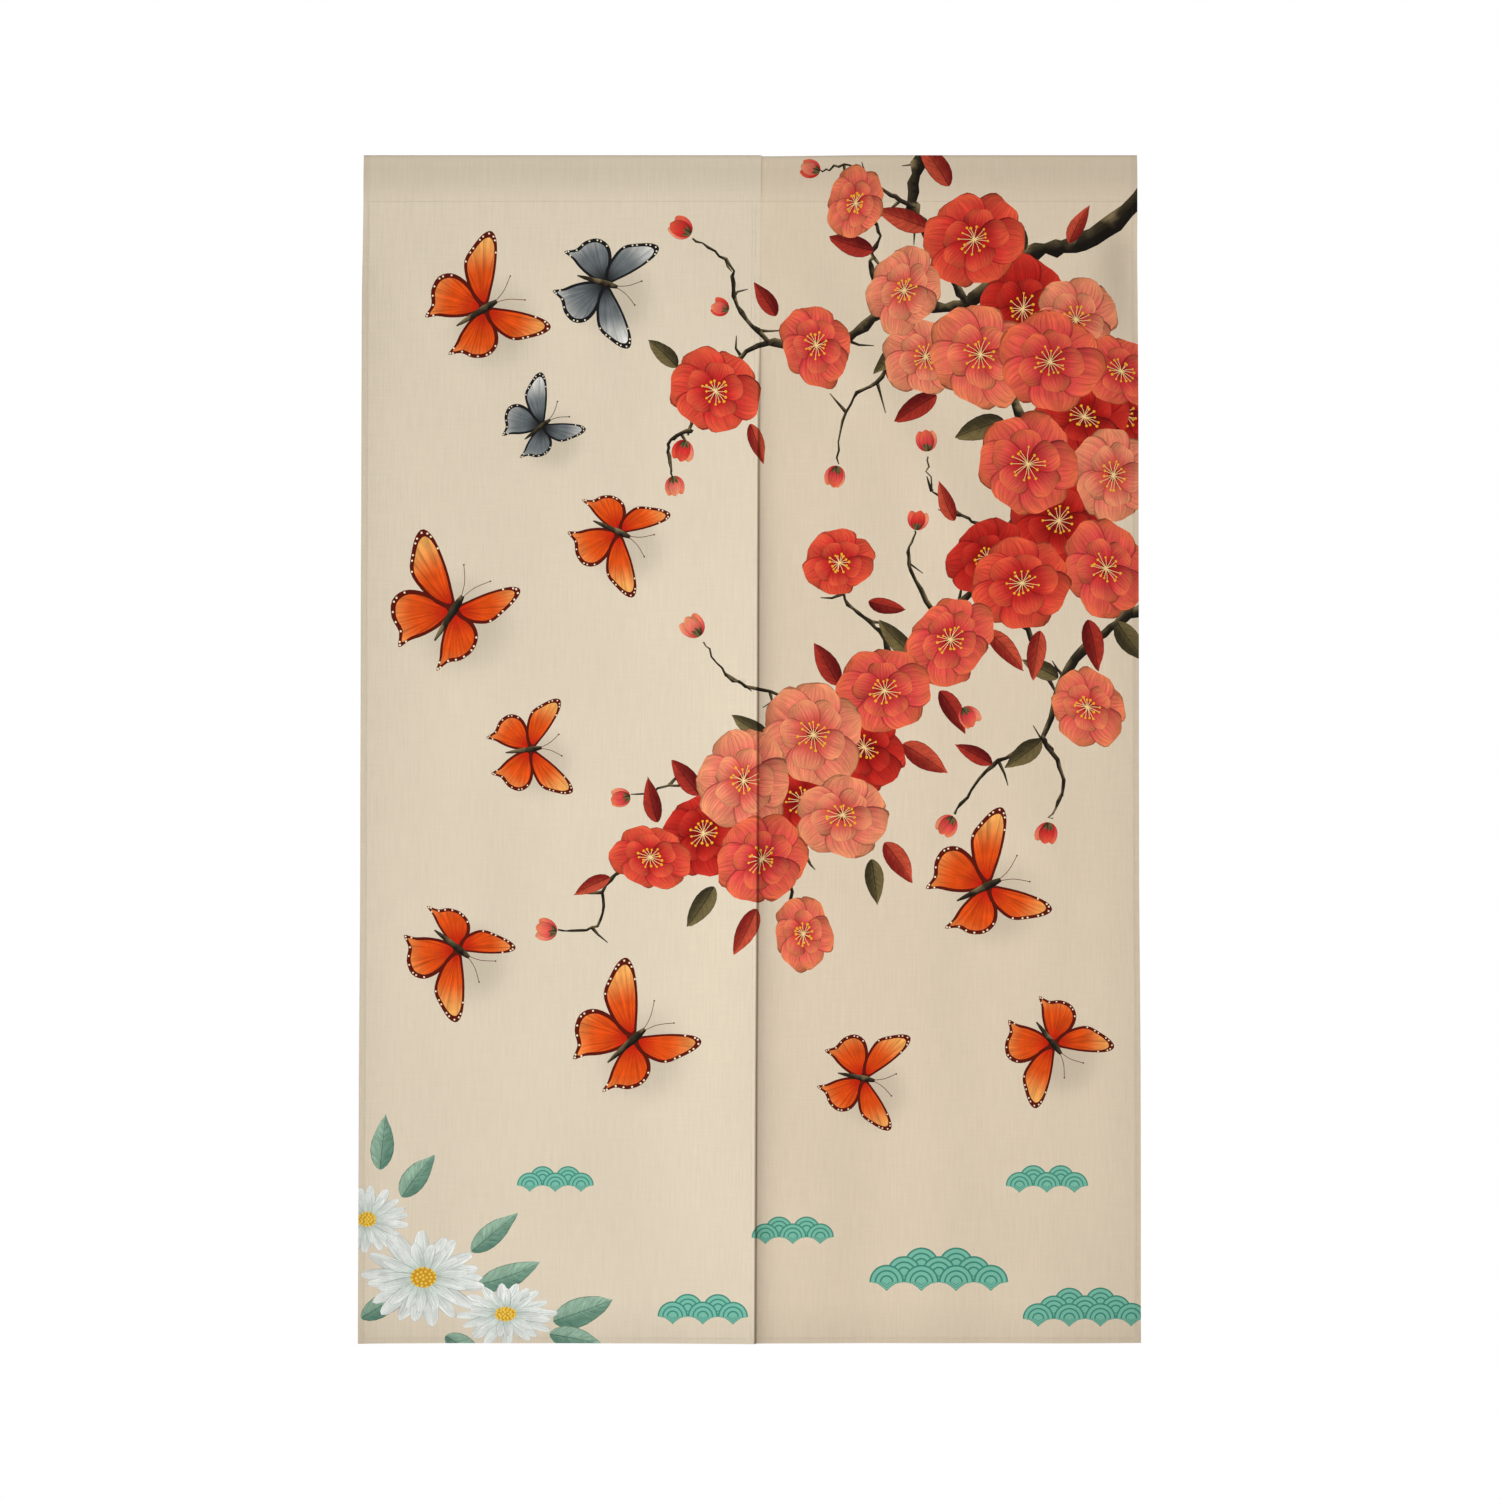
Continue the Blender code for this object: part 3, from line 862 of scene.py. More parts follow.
def stamens(row, rng):
    """A ring of fine threads with a grain of pollen at each end, round a small dark heart."""
    centre = place_of(row)
    axes = axes_of(row["turn"], row["radius"], row["tilt"], row["tilt_turn"])
    shapes = [plain(placed(disc((0.0, 0.0), HEART_SHARE, 12), centre, axes), BLOSSOM_HEART)]
    grains = []
    for index in range(STAMENS):
        turn = row["turn"] + 360 * index / STAMENS + rng.uniform(-9, 9)
        reach = row["radius"] * rng.uniform(*STAMEN_SHARES)
        axes = axes_of(turn, reach, row["tilt"], row["tilt_turn"])
        thread = placed([(0.0, 0.0), (0.5, rng.uniform(-0.06, 0.06)), (1.0, 0.0)], centre, axes)
        shapes.append(plain(ribbon(thread, STAMEN_HALF_WIDTHS), STAMEN))
        grains.append(plain(disc(thread[-1], rng.uniform(*POLLEN_RADII), 7), ANTHER))
    return shapes + grains


# A bud's petals and the leaves of its cup, by how far they turn from its own direction
BUD_PETALS = table("turn width side", [
    (22, 0.62, -1.0),
    (-22, 0.62, 1.0),
    (0, 0.70, -1.0),
])
CUP_TURNS = (34, -34, 0)
CUP_LENGTH = 0.42


def bud(row, rng):
    """A closed bud: three petals on each other, in a small dark cup."""
    shapes = []
    for part in BUD_PETALS:
        tones = PETAL_TONES[rng.integers(len(PETAL_TONES))]
        look = {"tones": tones, "heart_reach": 0.6, "side": part["side"], "shade": 0.3, "crease": 0.1}
        look["seed"] = rng.uniform(0, 50)
        axes = axes_of(row["turn"] + part["turn"], row["length"])
        shapes.append(petal("bud", part["width"], place_of(row), axes, look, rng))
    for turn in CUP_TURNS:
        cup = row | {"length": row["length"] * CUP_LENGTH, "turn": row["turn"] + turn}
        shapes += leaf(cup, LEAF_TONES[1], rng)[:1]
    return shapes


DAISY_RINGS = table("petals reach turn", [
    (19, 1.00, 0.0),
    (15, 0.74, 9.0),
])
DAISY_PETAL_WIDTH = 0.27
EYE_SHARE = 0.21
EYE_GRAIN_RADIUS = 0.0015
EYE_GRAINS = table("ring grains", [
    (0.19, 15),
    (0.12, 10),
    (0.05, 4),
])


def daisy(row, rng):
    """A white flower with two rings of narrow petals round a yellow eye."""
    centre = place_of(row)
    shapes = []
    for ring in DAISY_RINGS:
        for index in range(ring["petals"]):
            turn = row["turn"] + ring["turn"] + 360 * index / ring["petals"] + rng.uniform(-4, 4)
            axes = axes_of(turn, row["radius"] * ring["reach"] * rng.uniform(0.90, 1.05), row["tilt"])
            look = {"tones": DAISY_TONES, "heart_reach": 0.6, "crease": 0.12}
            look["shade"] = rng.uniform(0.10, 0.24)
            look["side"] = rng.choice([-1.0, 1.0])
            look["seed"] = rng.uniform(0, 50)
            shapes.append(petal("daisy", DAISY_PETAL_WIDTH, centre, axes, look, rng))
    eye_axes = axes_of(0.0, row["radius"], row["tilt"])
    shapes.append(plain(placed(disc((0.0, 0.0), EYE_SHARE, 16), centre, eye_axes), EYE))
    for ring in EYE_GRAINS:
        for spot in placed(disc((0.0, 0.0), ring["ring"], ring["grains"]), centre, eye_axes):
            spot = spot + rng.normal(0.0, 0.0003, 2)
            shapes.append(plain(disc(spot, EYE_GRAIN_RADIUS, 6), EYE_GRAIN))
    return shapes


def wing_paint(root, reach, tones, seed, places):
    """A wing: dark at its root, then bright, and pale toward its edge, with veins that fan out."""
    offset = places - root
    away = np.linalg.norm(offset, axis=1) / reach
    colour = blend(tones["root"], tones["middle"], smoothstep(0.05, 0.50, away))
    colour = blend(colour, tones["tip"], smoothstep(0.50, 1.15, away))
    angle = np.arctan2(offset[:, 1], offset[:, 0])
    return paint_rows(colour, 0.0, angle * 5.5 + seed, away + seed, 1.0)


WING_SHRINK = 0.84
WING_MARGIN_WIDTH = 0.0004
WING_SPOTS = np.linspace(0.28, 0.72, 9)
WING_SPOT_SHARE = 0.016
BODY = table("along half_width", [
    (0.24, 0.030),
    (0.14, 0.050),
    (0.02, 0.058),
    (-0.16, 0.046),
    (-0.36, 0.034),
    (-0.50, 0.012),
])
FEELER = np.array([(0.22, 0.01), (0.42, 0.08), (0.62, 0.22)])
FEELER_HALF_WIDTH = 0.00035


def butterfly_wing(half, spread, row, rng):
    """One wing: its dark edge, its bright field, and the pale spots between them."""
    tones = WING_TONES[row["tones"]]
    centre = place_of(row)
    axes = axes_of(row["turn"], row["wing"])
    own = smooth_run(half, 3, closed=True)
    own = np.stack([own[:, 1], own[:, 0] * (row["near"] if spread > 0 else row["far"]) * spread], axis=1)
    middle = own.mean(axis=0) * 0.9
    outline = placed(own, centre, axes)
    field = placed(middle + (own - middle) * WING_SHRINK, centre, axes)
    inner = placed(middle + (own[::2] - middle) * WING_SHRINK * 0.5, centre, axes)
    root = centre + axes @ np.array([0.0, 0.02 * spread])
    paint = partial(wing_paint, root, row["wing"], tones, rng.uniform(0, 50))
    shapes = [plain(grown(outline, WING_MARGIN_WIDTH), tones["edge"]), shape(field, paint, inner)]
    for spot in (WING_SPOTS * len(outline)).astype(int):
        place = outline[spot] * 0.62 + field[spot] * 0.38
        shapes.append(plain(disc(place, row["wing"] * WING_SPOT_SHARE, 6), WING_SPOT))
    return shapes


def butterfly(row, rng):
    edge = WING_TONES[row["tones"]]["edge"]
    centre = place_of(row)
    axes = axes_of(row["turn"], row["wing"])
    shapes = []
    for half, spread in ((HINDWING, 1), (FOREWING, 1), (HINDWING, -1), (FOREWING, -1)):
        shapes += butterfly_wing(half, spread, row, rng)
    body = placed([(part["along"], 0.0) for part in BODY], centre, axes)
    half_widths = np.array([part["half_width"] for part in BODY]) * row["wing"]
    shapes.append(bark(body, half_widths, rng.uniform(0, 50)))
    for side in (1, -1):
        feeler = placed(smooth_run(FEELER * (1, side), 4, closed=False), centre, axes)
        shapes.append(plain(ribbon(feeler, np.full(len(feeler), FEELER_HALF_WIDTH)), edge))
        shapes.append(plain(disc(feeler[-1], 0.0010, 6), edge))
    return shapes


# A scallop's rings, outer first, in turns of line and fill
WAVE_RINGS = (1.00, 0.90, 0.70, 0.60, 0.40, 0.30)
SCALLOP_FOOT = [(0.52, 0.10), (0.18, 0.34), (0.0, 0.52), (-0.18, 0.34), (-0.52, 0.10)]


def waves(row):
    """Scallops of rings in rows, each row before and between those of the row above."""
    arc = np.linspace(math.pi, 0.0, 15)
    scallop = np.concatenate([np.stack([np.cos(arc), -np.sin(arc)], axis=1), SCALLOP_FOOT])
    shapes = []
    for level in range(row["rows"] + 1):
        for index in range(level + 2):
            centre = place_of(row) + np.array([2 * index - level - 1, level * 0.5]) * row["radius"]
            for number, size in enumerate(WAVE_RINGS):
                colour = TEAL_FILL if number % 2 else TEAL_LINE
                shapes.append(plain(scallop * size * row["radius"] + centre, colour))
    return shapes


SHADE_OFFSET = np.array([0.012, 0.016])
SHADE_REACH = 0.62
SHADE_DEPTH = 0.20


def cloth_paint(places):
    """Bare cloth, with the soft printed shade under each butterfly."""
    shade = np.zeros(len(places))
    for row in BUTTERFLIES:
        away = np.linalg.norm(places - place_of(row) - SHADE_OFFSET, axis=1)
        shade += np.exp(-((away / (SHADE_REACH * row["wing"])) ** 4))
    return paint_rows(BARE_CLOTH * (1 - SHADE_DEPTH * np.clip(shade, 0.0, 1.0))[:, None])


def print_shapes():
    """The print's shapes, the lowest first. The first is the bare cloth, whose outline each panel gives."""
    rng = np.random.default_rng(11)
    shapes = [shape(np.zeros((0, 2)), cloth_paint)]
    for row in WAVES:
        shapes += waves(row)
    for row in DAISY_LEAVES:
        shapes += leaf(row, PALE_LEAF_TONES, rng)
    for row in DAISIES:
        shapes += daisy(row, rng)
    for row in BOUGHS:
        shapes += bough(row, rng)
    for index, row in enumerate(LEAVES):
        shapes += leaf(row, LEAF_TONES[index % len(LEAF_TONES)], rng)
    for make, rows in ((bud, BUDS), (blossom, BLOSSOMS), (butterfly, BUTTERFLIES)):
        for row in rows:
            shapes += make(row, rng)
    return shapes


# The panels' meshes

def straight(start, end, pitch):
    """Points along a straight line, both ends among them."""
    start, end = np.asarray(start, float), np.asarray(end, float)
    steps = max(1, math.ceil(np.linalg.norm(end - start) / pitch))
    return start + (end - start) * np.linspace(0.0, 1.0, steps + 1)[:, None]


def panel_lines():
    """The (across, down) runs that a panel's mesh keeps: its hems' steps and its sleeve's bends."""
    columns = SIDE_LINES + [PANEL_WIDTH - across for across in SIDE_LINES]
    runs = [straight((across, -SLEEVE_HEIGHT - FLAP), (across, DROP), LINE_PITCH) for across in columns]
    for up in HEM_LINES:
        runs.append(straight((0.0, DROP - up), (PANEL_WIDTH, DROP - up), LINE_PITCH))
    bends = [0.0, SLEEVE_HEIGHT, -SLEEVE_HEIGHT, SLEEVE_HEIGHT + HEM_STEP]
    for down in bends + SLEEVE_LINES + [-down for down in SLEEVE_LINES]:
        runs.append(straight((0.0, down), (PANEL_WIDTH, down), 2 * LINE_PITCH))
    return runs


def panel_rim():
    """A panel's flat outline, as a closed (across, down) run."""
    top = -SLEEVE_HEIGHT - FLAP
    corners = [(0.0, top), (0.0, DROP), (PANEL_WIDTH, DROP), (PANEL_WIDTH, top)]
    runs = [straight(corners[index], corners[(index + 1) % 4], LINE_PITCH)[:-1] for index in range(4)]
    return np.concatenate(runs)


def grid_points(rng):
    """Staggered points over the cloth between its lines."""
    points = []
    for row, down in enumerate(np.arange(SLEEVE_HEIGHT + GRID_PITCH, DROP - GRID_FROM, ROW_PITCH)):
        across = np.arange(GRID_FROM + (row % 2) * GRID_PITCH / 2, PANEL_WIDTH - GRID_TO, GRID_PITCH)
        points.append(np.stack([across, np.full(len(across), down)], axis=1))
    points = np.concatenate(points)
    return points + rng.uniform(-GRID_JITTER, GRID_JITTER, points.shape)


def outer_edge(side, down):
    """A panel's outer edge on the flat print. The right one slants, so that the print crosses the slit."""
    if side == "left":
        return LEFT_EDGE_TOP
    below = np.maximum(down, 0.0)
    return RIGHT_EDGE_TOP + swing("left", below) + swing("right", below)


def flat_x(side, across, down):
    return outer_edge(side, down) + (across if side == "left" else -across)


def across_of(side, x, down):
    return (x - outer_edge(side, down)) * (1.0 if side == "left" else -1.0)


def in_outline(outline, places):
    """Which places lie in an outline, by how often it winds round them."""
    x, down = places[:, :1], places[:, 1:]
    start, end = outline.T[:, None, :], np.roll(outline, -1, axis=0).T[:, None, :]
    falls = (start[1] <= down) & (end[1] > down)
    rises = (start[1] > down) & (end[1] <= down)
    drop = np.where(end[1] == start[1], 1.0, end[1] - start[1])
    beyond = x < start[0] + (down - start[1]) * (end[0] - start[0]) / drop
    return ((falls & beyond).sum(axis=1) - (rises & beyond).sum(axis=1)) != 0


def topmost(places, shapes):
    """The number of the topmost shape at each place, or 0 for bare cloth."""
    order = np.argsort(places[:, 0])
    x = places[order, 0]
    found = np.zeros(len(places), dtype=int)
    for number, item in enumerate(shapes[1:], start=1):
        low, high = item["outline"].min(axis=0), item["outline"].max(axis=0)
        near = order[np.searchsorted(x, low[0]):np.searchsorted(x, high[0])]
        near = near[(places[near, 1] > low[1]) & (places[near, 1] < high[1])]
        if len(near):
            found[near[in_outline(item["outline"], places[near])]] = number
    return found


def print_lines(shapes):
    """What shows of the print: its outlines, as the ends of short edges, and the points inside them."""
    drawn = shapes[1:]
    numbers = np.arange(1, len(shapes))
    starts = np.concatenate([item["outline"] for item in drawn])
    ends = np.concatenate([np.roll(item["outline"], -1, axis=0) for item in drawn])
    inner = np.concatenate([item["inner"] for item in drawn])
    edge_numbers = np.repeat(numbers, [len(item["outline"]) for item in drawn])
    inner_numbers = np.repeat(numbers, [len(item["inner"]) for item in drawn])
    shows = np.zeros(len(starts), dtype=bool)
    for share in EDGE_SHARES:
        shows |= topmost(starts + (ends - starts) * share, shapes) <= edge_numbers
    return starts[shows], ends[shows], inner[topmost(inner, shapes) == inner_numbers]


def cut_panel(side, drawn, shapes, rng):
    """Triangles of a panel's flat cloth, cut along its lines and along the outlines of the print.

    Returns their vertices' flat places, the triangles, and the number of each triangle's topmost shape.
    """
    def from_panel(run):
        return np.stack([flat_x(side, run[:, 0], run[:, 1]), run[:, 1]], axis=1)

    rim = anticlockwise(from_panel(panel_rim()))
    low, high = rim.min(axis=0), rim.max(axis=0)
    points = [rim]
    edges = []
    count = len(rim)
    for run in panel_lines():
        points.append(from_panel(run))
        edges += [(count + index, count + index + 1) for index in range(len(run) - 1)]
        count += len(run)
    starts, ends, inner = drawn
    inside = (np.maximum(starts, ends) > low).all(axis=1) & (np.minimum(starts, ends) < high).all(axis=1)
    edges += [(count + index, count + index + inside.sum()) for index in range(inside.sum())]
    points += [starts[inside], ends[inside], inner[((inner > low) & (inner < high)).all(axis=1)]]
    points.append(from_panel(grid_points(rng)))

    places = np.concatenate(points)
    corners = [Vector((float(x), float(-down))) for x, down in places]
    found = delaunay_2d_cdt(corners, edges, [list(range(len(rim)))], 1, 1e-6, False)
    flat = np.array([(corner.x, -corner.y) for corner in found[0]])
    triangles = np.array(found[2])
    triangles = triangles[in_outline(rim, flat[triangles].mean(axis=1))]
    used, triangles = np.unique(triangles, return_inverse=True)
    flat = flat[used]
    triangles = triangles.reshape(-1, 3)
    return flat, triangles, topmost(flat[triangles].mean(axis=1), shapes)


def painted(flat, triangles, owners, shapes):
    """Each triangle corner's paint, from the triangle's shape."""
    places = flat[triangles]
    paint = np.empty(places.shape[:2] + (PAINT_COLUMNS,))
    order = np.argsort(owners, kind="stable")
    for group in np.split(order, np.flatnonzero(np.diff(owners[order])) + 1):
        rows = shapes[owners[group[0]]]["paint"](places[group].reshape(-1, 2))
        paint[group] = rows.reshape(-1, 3, PAINT_COLUMNS)
    return paint


def open_edges(triangles):
    """The edges that only one triangle has, in that triangle's direction."""
    edges = np.concatenate([triangles[:, [0, 1]], triangles[:, [1, 2]], triangles[:, [2, 0]]])
    size = int(triangles.max()) + 1
    ahead = edges[:, 0] * size + edges[:, 1]
    back = edges[:, 1] * size + edges[:, 0]
    return edges[~np.isin(ahead, back)]


def mesh_of(name, points, triangles):
    mesh = bpy.data.meshes.new(name)
    mesh.vertices.add(len(points))
    mesh.vertices.foreach_set("co", points.astype(np.float32).ravel())
    mesh.loops.add(3 * len(triangles))
    mesh.loops.foreach_set("vertex_index", triangles.astype(np.int32).ravel())
    mesh.polygons.add(len(triangles))
    mesh.polygons.foreach_set("loop_start", np.arange(0, 3 * len(triangles), 3, dtype=np.int32))
    mesh.update(calc_edges=True)
    mesh.validate()
    mesh.shade_smooth()
    return linked(name, mesh)


def hold(mesh, name, kind, domain, values):
    """Numbers for the materials, at each of a mesh's points or corners."""
    field = "color" if kind == "FLOAT_COLOR" else "vector"
    mesh.attributes.new(name, kind, domain).data.foreach_set(field, values.astype(np.float32).ravel())


BAKE_MARGIN = 0.01
BAKE_SIZE = (0.48, 0.98)
BAKE_MIDDLE = np.array([0.25, 0.5])  # the middle of the face's half
BAKE_RIM = 0.004                     # the cut edges lie this far round the face


def bake_places(flat, side, behind):
    """A map of the cloth for a bake: its face on one half, and its back on the other."""
    across = across_of(side, flat[..., 0], flat[..., 1]) / PANEL_WIDTH
    along = (flat[..., 1] + SLEEVE_HEIGHT + FLAP) / (DROP + SLEEVE_HEIGHT + FLAP)
    map_places = np.stack([across * BAKE_SIZE[0] + 0.5 * behind, (1 - along) * BAKE_SIZE[1]], axis=-1)
    return map_places + BAKE_MARGIN


def make_panel(side, drawn, shapes, rng):
    """One panel: the flat triangles laid on the folds, given their thickness and closed round the edge."""
    flat, triangles, owners = cut_panel(side, drawn, shapes, rng)
    paint = painted(flat, triangles, owners, shapes)
    down = flat[:, 1]
    across = across_of(side, flat[:, 0], down)
    points, _, _, backward = cloth_frames(side, across, down)
    face = points - backward * FACE
    back = points + backward * (thickness(side, across, down) - FACE)[:, None]

    count = len(flat)
    first, second = open_edges(triangles).T
    rim = np.concatenate([
        np.stack([second, first, first + count], axis=1),
        np.stack([second, first + count, second + count], axis=1),
    ])
    all_triangles = np.concatenate([triangles, triangles[:, ::-1] + count, rim])
    piece = mesh_of("noren_panel_" + side, np.concatenate([face, back]), all_triangles)
    mesh = piece.data
    mesh.set_sharp_from_angle(angle=CREASE_ANGLE)

    at_vertex = np.zeros((count, PAINT_COLUMNS))
    at_vertex[triangles.ravel()] = paint.reshape(-1, PAINT_COLUMNS)
    paint = np.concatenate([paint, paint[:, ::-1], at_vertex[rim % count]]).reshape(-1, PAINT_COLUMNS)
    # Where the material paints shade along the outer hems, and less along the foot's hem
    outer_hem = np.maximum(hem_band(across), FOOT_HEM_SHARE * hem_band(DROP - down))
    cloth_flat = np.tile(np.stack([flat[:, 0], down, outer_hem], axis=1), (2, 1))
    hold(mesh, "print_colour", "FLOAT_COLOR", "CORNER", paint[:, :4])
    hold(mesh, "print_lines", "FLOAT_VECTOR", "CORNER", paint[:, 4:])
    hold(mesh, "cloth_flat", "FLOAT_VECTOR", "POINT", cloth_flat)

    on_face = bake_places(flat[triangles], side, 0.0)
    on_back = bake_places(flat[triangles[:, ::-1]], side, 1.0)
    beside = bake_places(flat[rim % count], side, 0.0)
    outward = np.where(rim >= count, BAKE_RIM, 0.0)[..., None]
    beside = beside + np.sign(beside - BAKE_MIDDLE) * outward
    bake_map = mesh.uv_layers.new(name="OFBake")
    bake_map.uv.foreach_set("vector", np.concatenate([on_face, on_back, beside]).astype(np.float32).ravel())

    slots = np.zeros(len(all_triangles), dtype=np.int32)
    slots[len(triangles):2 * len(triangles)] = 1
    mesh.materials.append(cloth_material("printed_face_" + side, side, 1.0, SLIT_PAINTED_SHADES[side]))
    mesh.materials.append(cloth_material("cloth_back_" + side, side, BACK_SHOW_THROUGH))
    mesh.polygons.foreach_set("material_index", slots)
    return piece


# Stitches

STITCH_LENGTH = 0.0025
STITCH_PITCH = 0.0032
STITCH_HALF_WIDTH = 0.00022
STITCH_INSET = 0.0056
STITCH_SIDES = 5
STITCH_TURN = 0.03        # how much the stitches differ in direction
HEADING_ROW = SLEEVE_HEIGHT + 0.0004
HEADING_ROW_INSET = 0.0015
SIDE_ROW_FROM = HEADING_ROW + 0.003
FOOT_ROW_INSET = STITCH_INSET + 0.002
SEAM_ROWS_APART = 0.0036


def stitch_rows(side):
    """A panel's rows of stitches, as (start, end) in (across, down)."""
    slit_side = PANEL_WIDTH - STITCH_INSET
    foot = DROP - STITCH_INSET
    rows = [
        ((STITCH_INSET, SIDE_ROW_FROM), (STITCH_INSET, foot)),
        ((slit_side, SIDE_ROW_FROM), (slit_side, foot)),
        ((FOOT_ROW_INSET, foot), (PANEL_WIDTH - FOOT_ROW_INSET, foot)),
        ((HEADING_ROW_INSET, HEADING_ROW), (PANEL_WIDTH - HEADING_ROW_INSET, HEADING_ROW)),
    ]
    if side == "left":
        seam_side = slit_side - SEAM_ROWS_APART
        rows.append(((seam_side, SIDE_ROW_FROM), (seam_side, SEAM_DROP)))
    return rows


def one_stitch():
    """A stitch along its first axis, 2 long and about 2 thick: two rings and two tips."""
    angle = np.linspace(0.0, 2 * math.pi, STITCH_SIDES, endpoint=False)
    ring = np.stack([np.zeros(STITCH_SIDES), np.cos(angle), 0.7 * np.sin(angle)], axis=1)
    tip = np.array([(1.0, 0.0, -0.8)])
    points = np.concatenate([tip * (-1, 1, 1), ring - (0.6, 0, 0), ring + (0.6, 0, 0), tip])
    last = len(points) - 1
    triangles = []
    for index in range(STITCH_SIDES):
        near = 1 + index
        near_next = 1 + (index + 1) % STITCH_SIDES
        far = near + STITCH_SIDES
        far_next = near_next + STITCH_SIDES
        triangles += [(0, near_next, near), (near, near_next, far_next)]
        triangles += [(near, far_next, far), (far, far_next, last)]
    return points, np.array(triangles)


def stitch_places(side):
    """Where each stitch lies, in (across, down), and its direction there."""
    places, directions = [], []
    for start, end in stitch_rows(side):
        run = straight(start, end, STITCH_PITCH)
        places.append((run[1:] + run[:-1]) / 2)
        directions.append(units(run[1:] - run[:-1]))
    return np.concatenate(places), np.concatenate(directions)


def make_stitches(side, shapes, rng):
    """All of a panel's stitches, on its face and its back, each in the colour of the print under it."""
    places, directions = stitch_places(side)
    across, down = places.T
    flat = np.stack([flat_x(side, across, down), down], axis=1)
    owners = topmost(flat, shapes)
    under = np.array([shapes[owner]["paint"](flat[[index]])[0, :3] for index, owner in enumerate(owners)])
    points, rightward, downward, backward = cloth_frames(side, across, down)
    outward = 1.0 if side == "left" else -1.0
    along = rightward * directions[:, :1] * outward + downward * directions[:, 1:]
    along = units(along + rng.normal(0.0, STITCH_TURN, along.shape))
    template, template_triangles = one_stitch()
    parts, triangles, colours = [], [], []
    for facing, show_through in ((-1.0, 1.0), (1.0, BACK_SHOW_THROUGH)):
        depth = FACE if facing < 0 else thickness(side, across, down) - FACE
        middle = points + backward * np.reshape(facing * (depth + 0.5 * STITCH_HALF_WIDTH), (-1, 1))
        raised = backward * facing
        size = (STITCH_HALF_WIDTH * rng.uniform(0.85, 1.15, len(middle)))[:, None]
        axes = np.stack([along * STITCH_LENGTH / 2, np.cross(raised, along) * size, raised * size], axis=1)
        steps = np.arange(len(middle))[:, None, None] * len(template) + sum(len(part) for part in parts)
        parts.append((middle[:, None, :] + template @ axes).reshape(-1, 3))
        colours.append(np.repeat(blend(BACK_CLOTH, under, [show_through]), len(template), axis=0))
        triangles.append((template_triangles + steps).reshape(-1, 3))
    piece = mesh_of("stitching_" + side, np.concatenate(parts), np.concatenate(triangles))
    colours = np.pad(np.concatenate(colours), ((0, 0), (0, 1)), constant_values=1.0)
    hold(piece.data, "thread_colour", "FLOAT_COLOR", "POINT", colours)
    piece.data.materials.append(thread_material("thread_" + side, side))
    return piece


# Materials

class Nodes:
    """A material's nodes, added by short calls. A value is a number, a tuple or another node's output."""

    def __init__(self, name):
        self.material = bpy.data.materials.new(name)
        self.material.use_nodes = True
        self.tree = self.material.node_tree
        self.shader = self.tree.nodes["Principled BSDF"]

    def put(self, socket, value):
        if isinstance(value, bpy.types.NodeSocket):
            self.tree.links.new(value, socket)
        else:
            socket.default_value = value

    def node(self, kind, *values):
        """A node with its first inputs filled."""
        node = self.tree.nodes.new("ShaderNode" + kind)
        for socket, value in zip(node.inputs, values):
            self.put(socket, value)
        return node

    def math(self, operation, *values):
        node = self.node("Math", *values)
        node.operation = operation
        return node.outputs[0]

    def times(self, first, *others):
        for value in others:
            first = self.math("MULTIPLY", first, value)
        return first

    def scaled(self, vector, factors):
        node = self.node("VectorMath", vector, factors)
        node.operation = "MULTIPLY"
        return node.outputs[0]

    def attribute(self, name, output):
        node = self.node("Attribute")
        node.attribute_name = name
        return node.outputs[output]

    def parts(self, vector):
        return self.node("SeparateXYZ", vector).outputs

    def noise(self, vector, factors, detail):
        """Noise at places that are scaled by factors."""
        node = self.node("TexNoise", self.scaled(vector, factors))
        node.inputs["Scale"].default_value = 1.0
        node.inputs["Detail"].default_value = detail
        return node.outputs["Fac"]

    def spread(self, value, low, high, new_low, new_high):
        """value from low to high, taken to new_low to new_high, and held at both ends."""
        return self.node("MapRange", value, low, high, new_low, new_high).outputs[0]

    def noise_tone(self, vector, factors, detail, new_low, new_high):
        """Noise as a tone, with its middle range taken to new_low to new_high."""
        return self.spread(self.noise(vector, factors, detail), *NOISE_RANGE, new_low, new_high)

    def mix(self, blend_type, share, first, second):
        node = self.node("Mix")
        node.data_type = "RGBA"
        node.blend_type = blend_type
        for name, value in {"Factor": share, "A": first, "B": second}.items():
            self.put(node.inputs[name], value)
        return node.outputs["Result"]

    def grey(self, tone):
        return self.node("CombineColor", tone, tone, tone).outputs[0]

    def toned(self, colour, tone, share=1.0):
        """A colour times a grey tone."""
        return self.mix("MULTIPLY", share, colour, self.grey(tone))

    def bump(self, height, distance):
        node = self.node("Bump")
        for name, value in {"Strength": 1.0, "Distance": distance, "Height": height}.items():
            self.put(node.inputs[name], value)
        return node.outputs["Normal"]

    def finished(self, inputs):
        """The material, with its shader's inputs filled."""
        for name, value in inputs.items():
            self.put(self.shader.inputs[name], value)
        return self.material


NOISE_RANGE = (0.30, 0.70)
CLOTH_RELIEF = 0.00022
THREAD_RELIEF = 0.00006
YARN_PITCH = 0.00062
YARN_TURN = math.pi / YARN_PITCH
SLUB_THICK = 520.0
SLUB_LONG = 26.0
SLUB_RANGE = (0.70, 1.30)
WARP_SLUBS = 1.35         # how strong the upright slubs are, where 1 is as strong as the level ones
BACK_SHOW_THROUGH = 0.34  # how much of the print the back shows
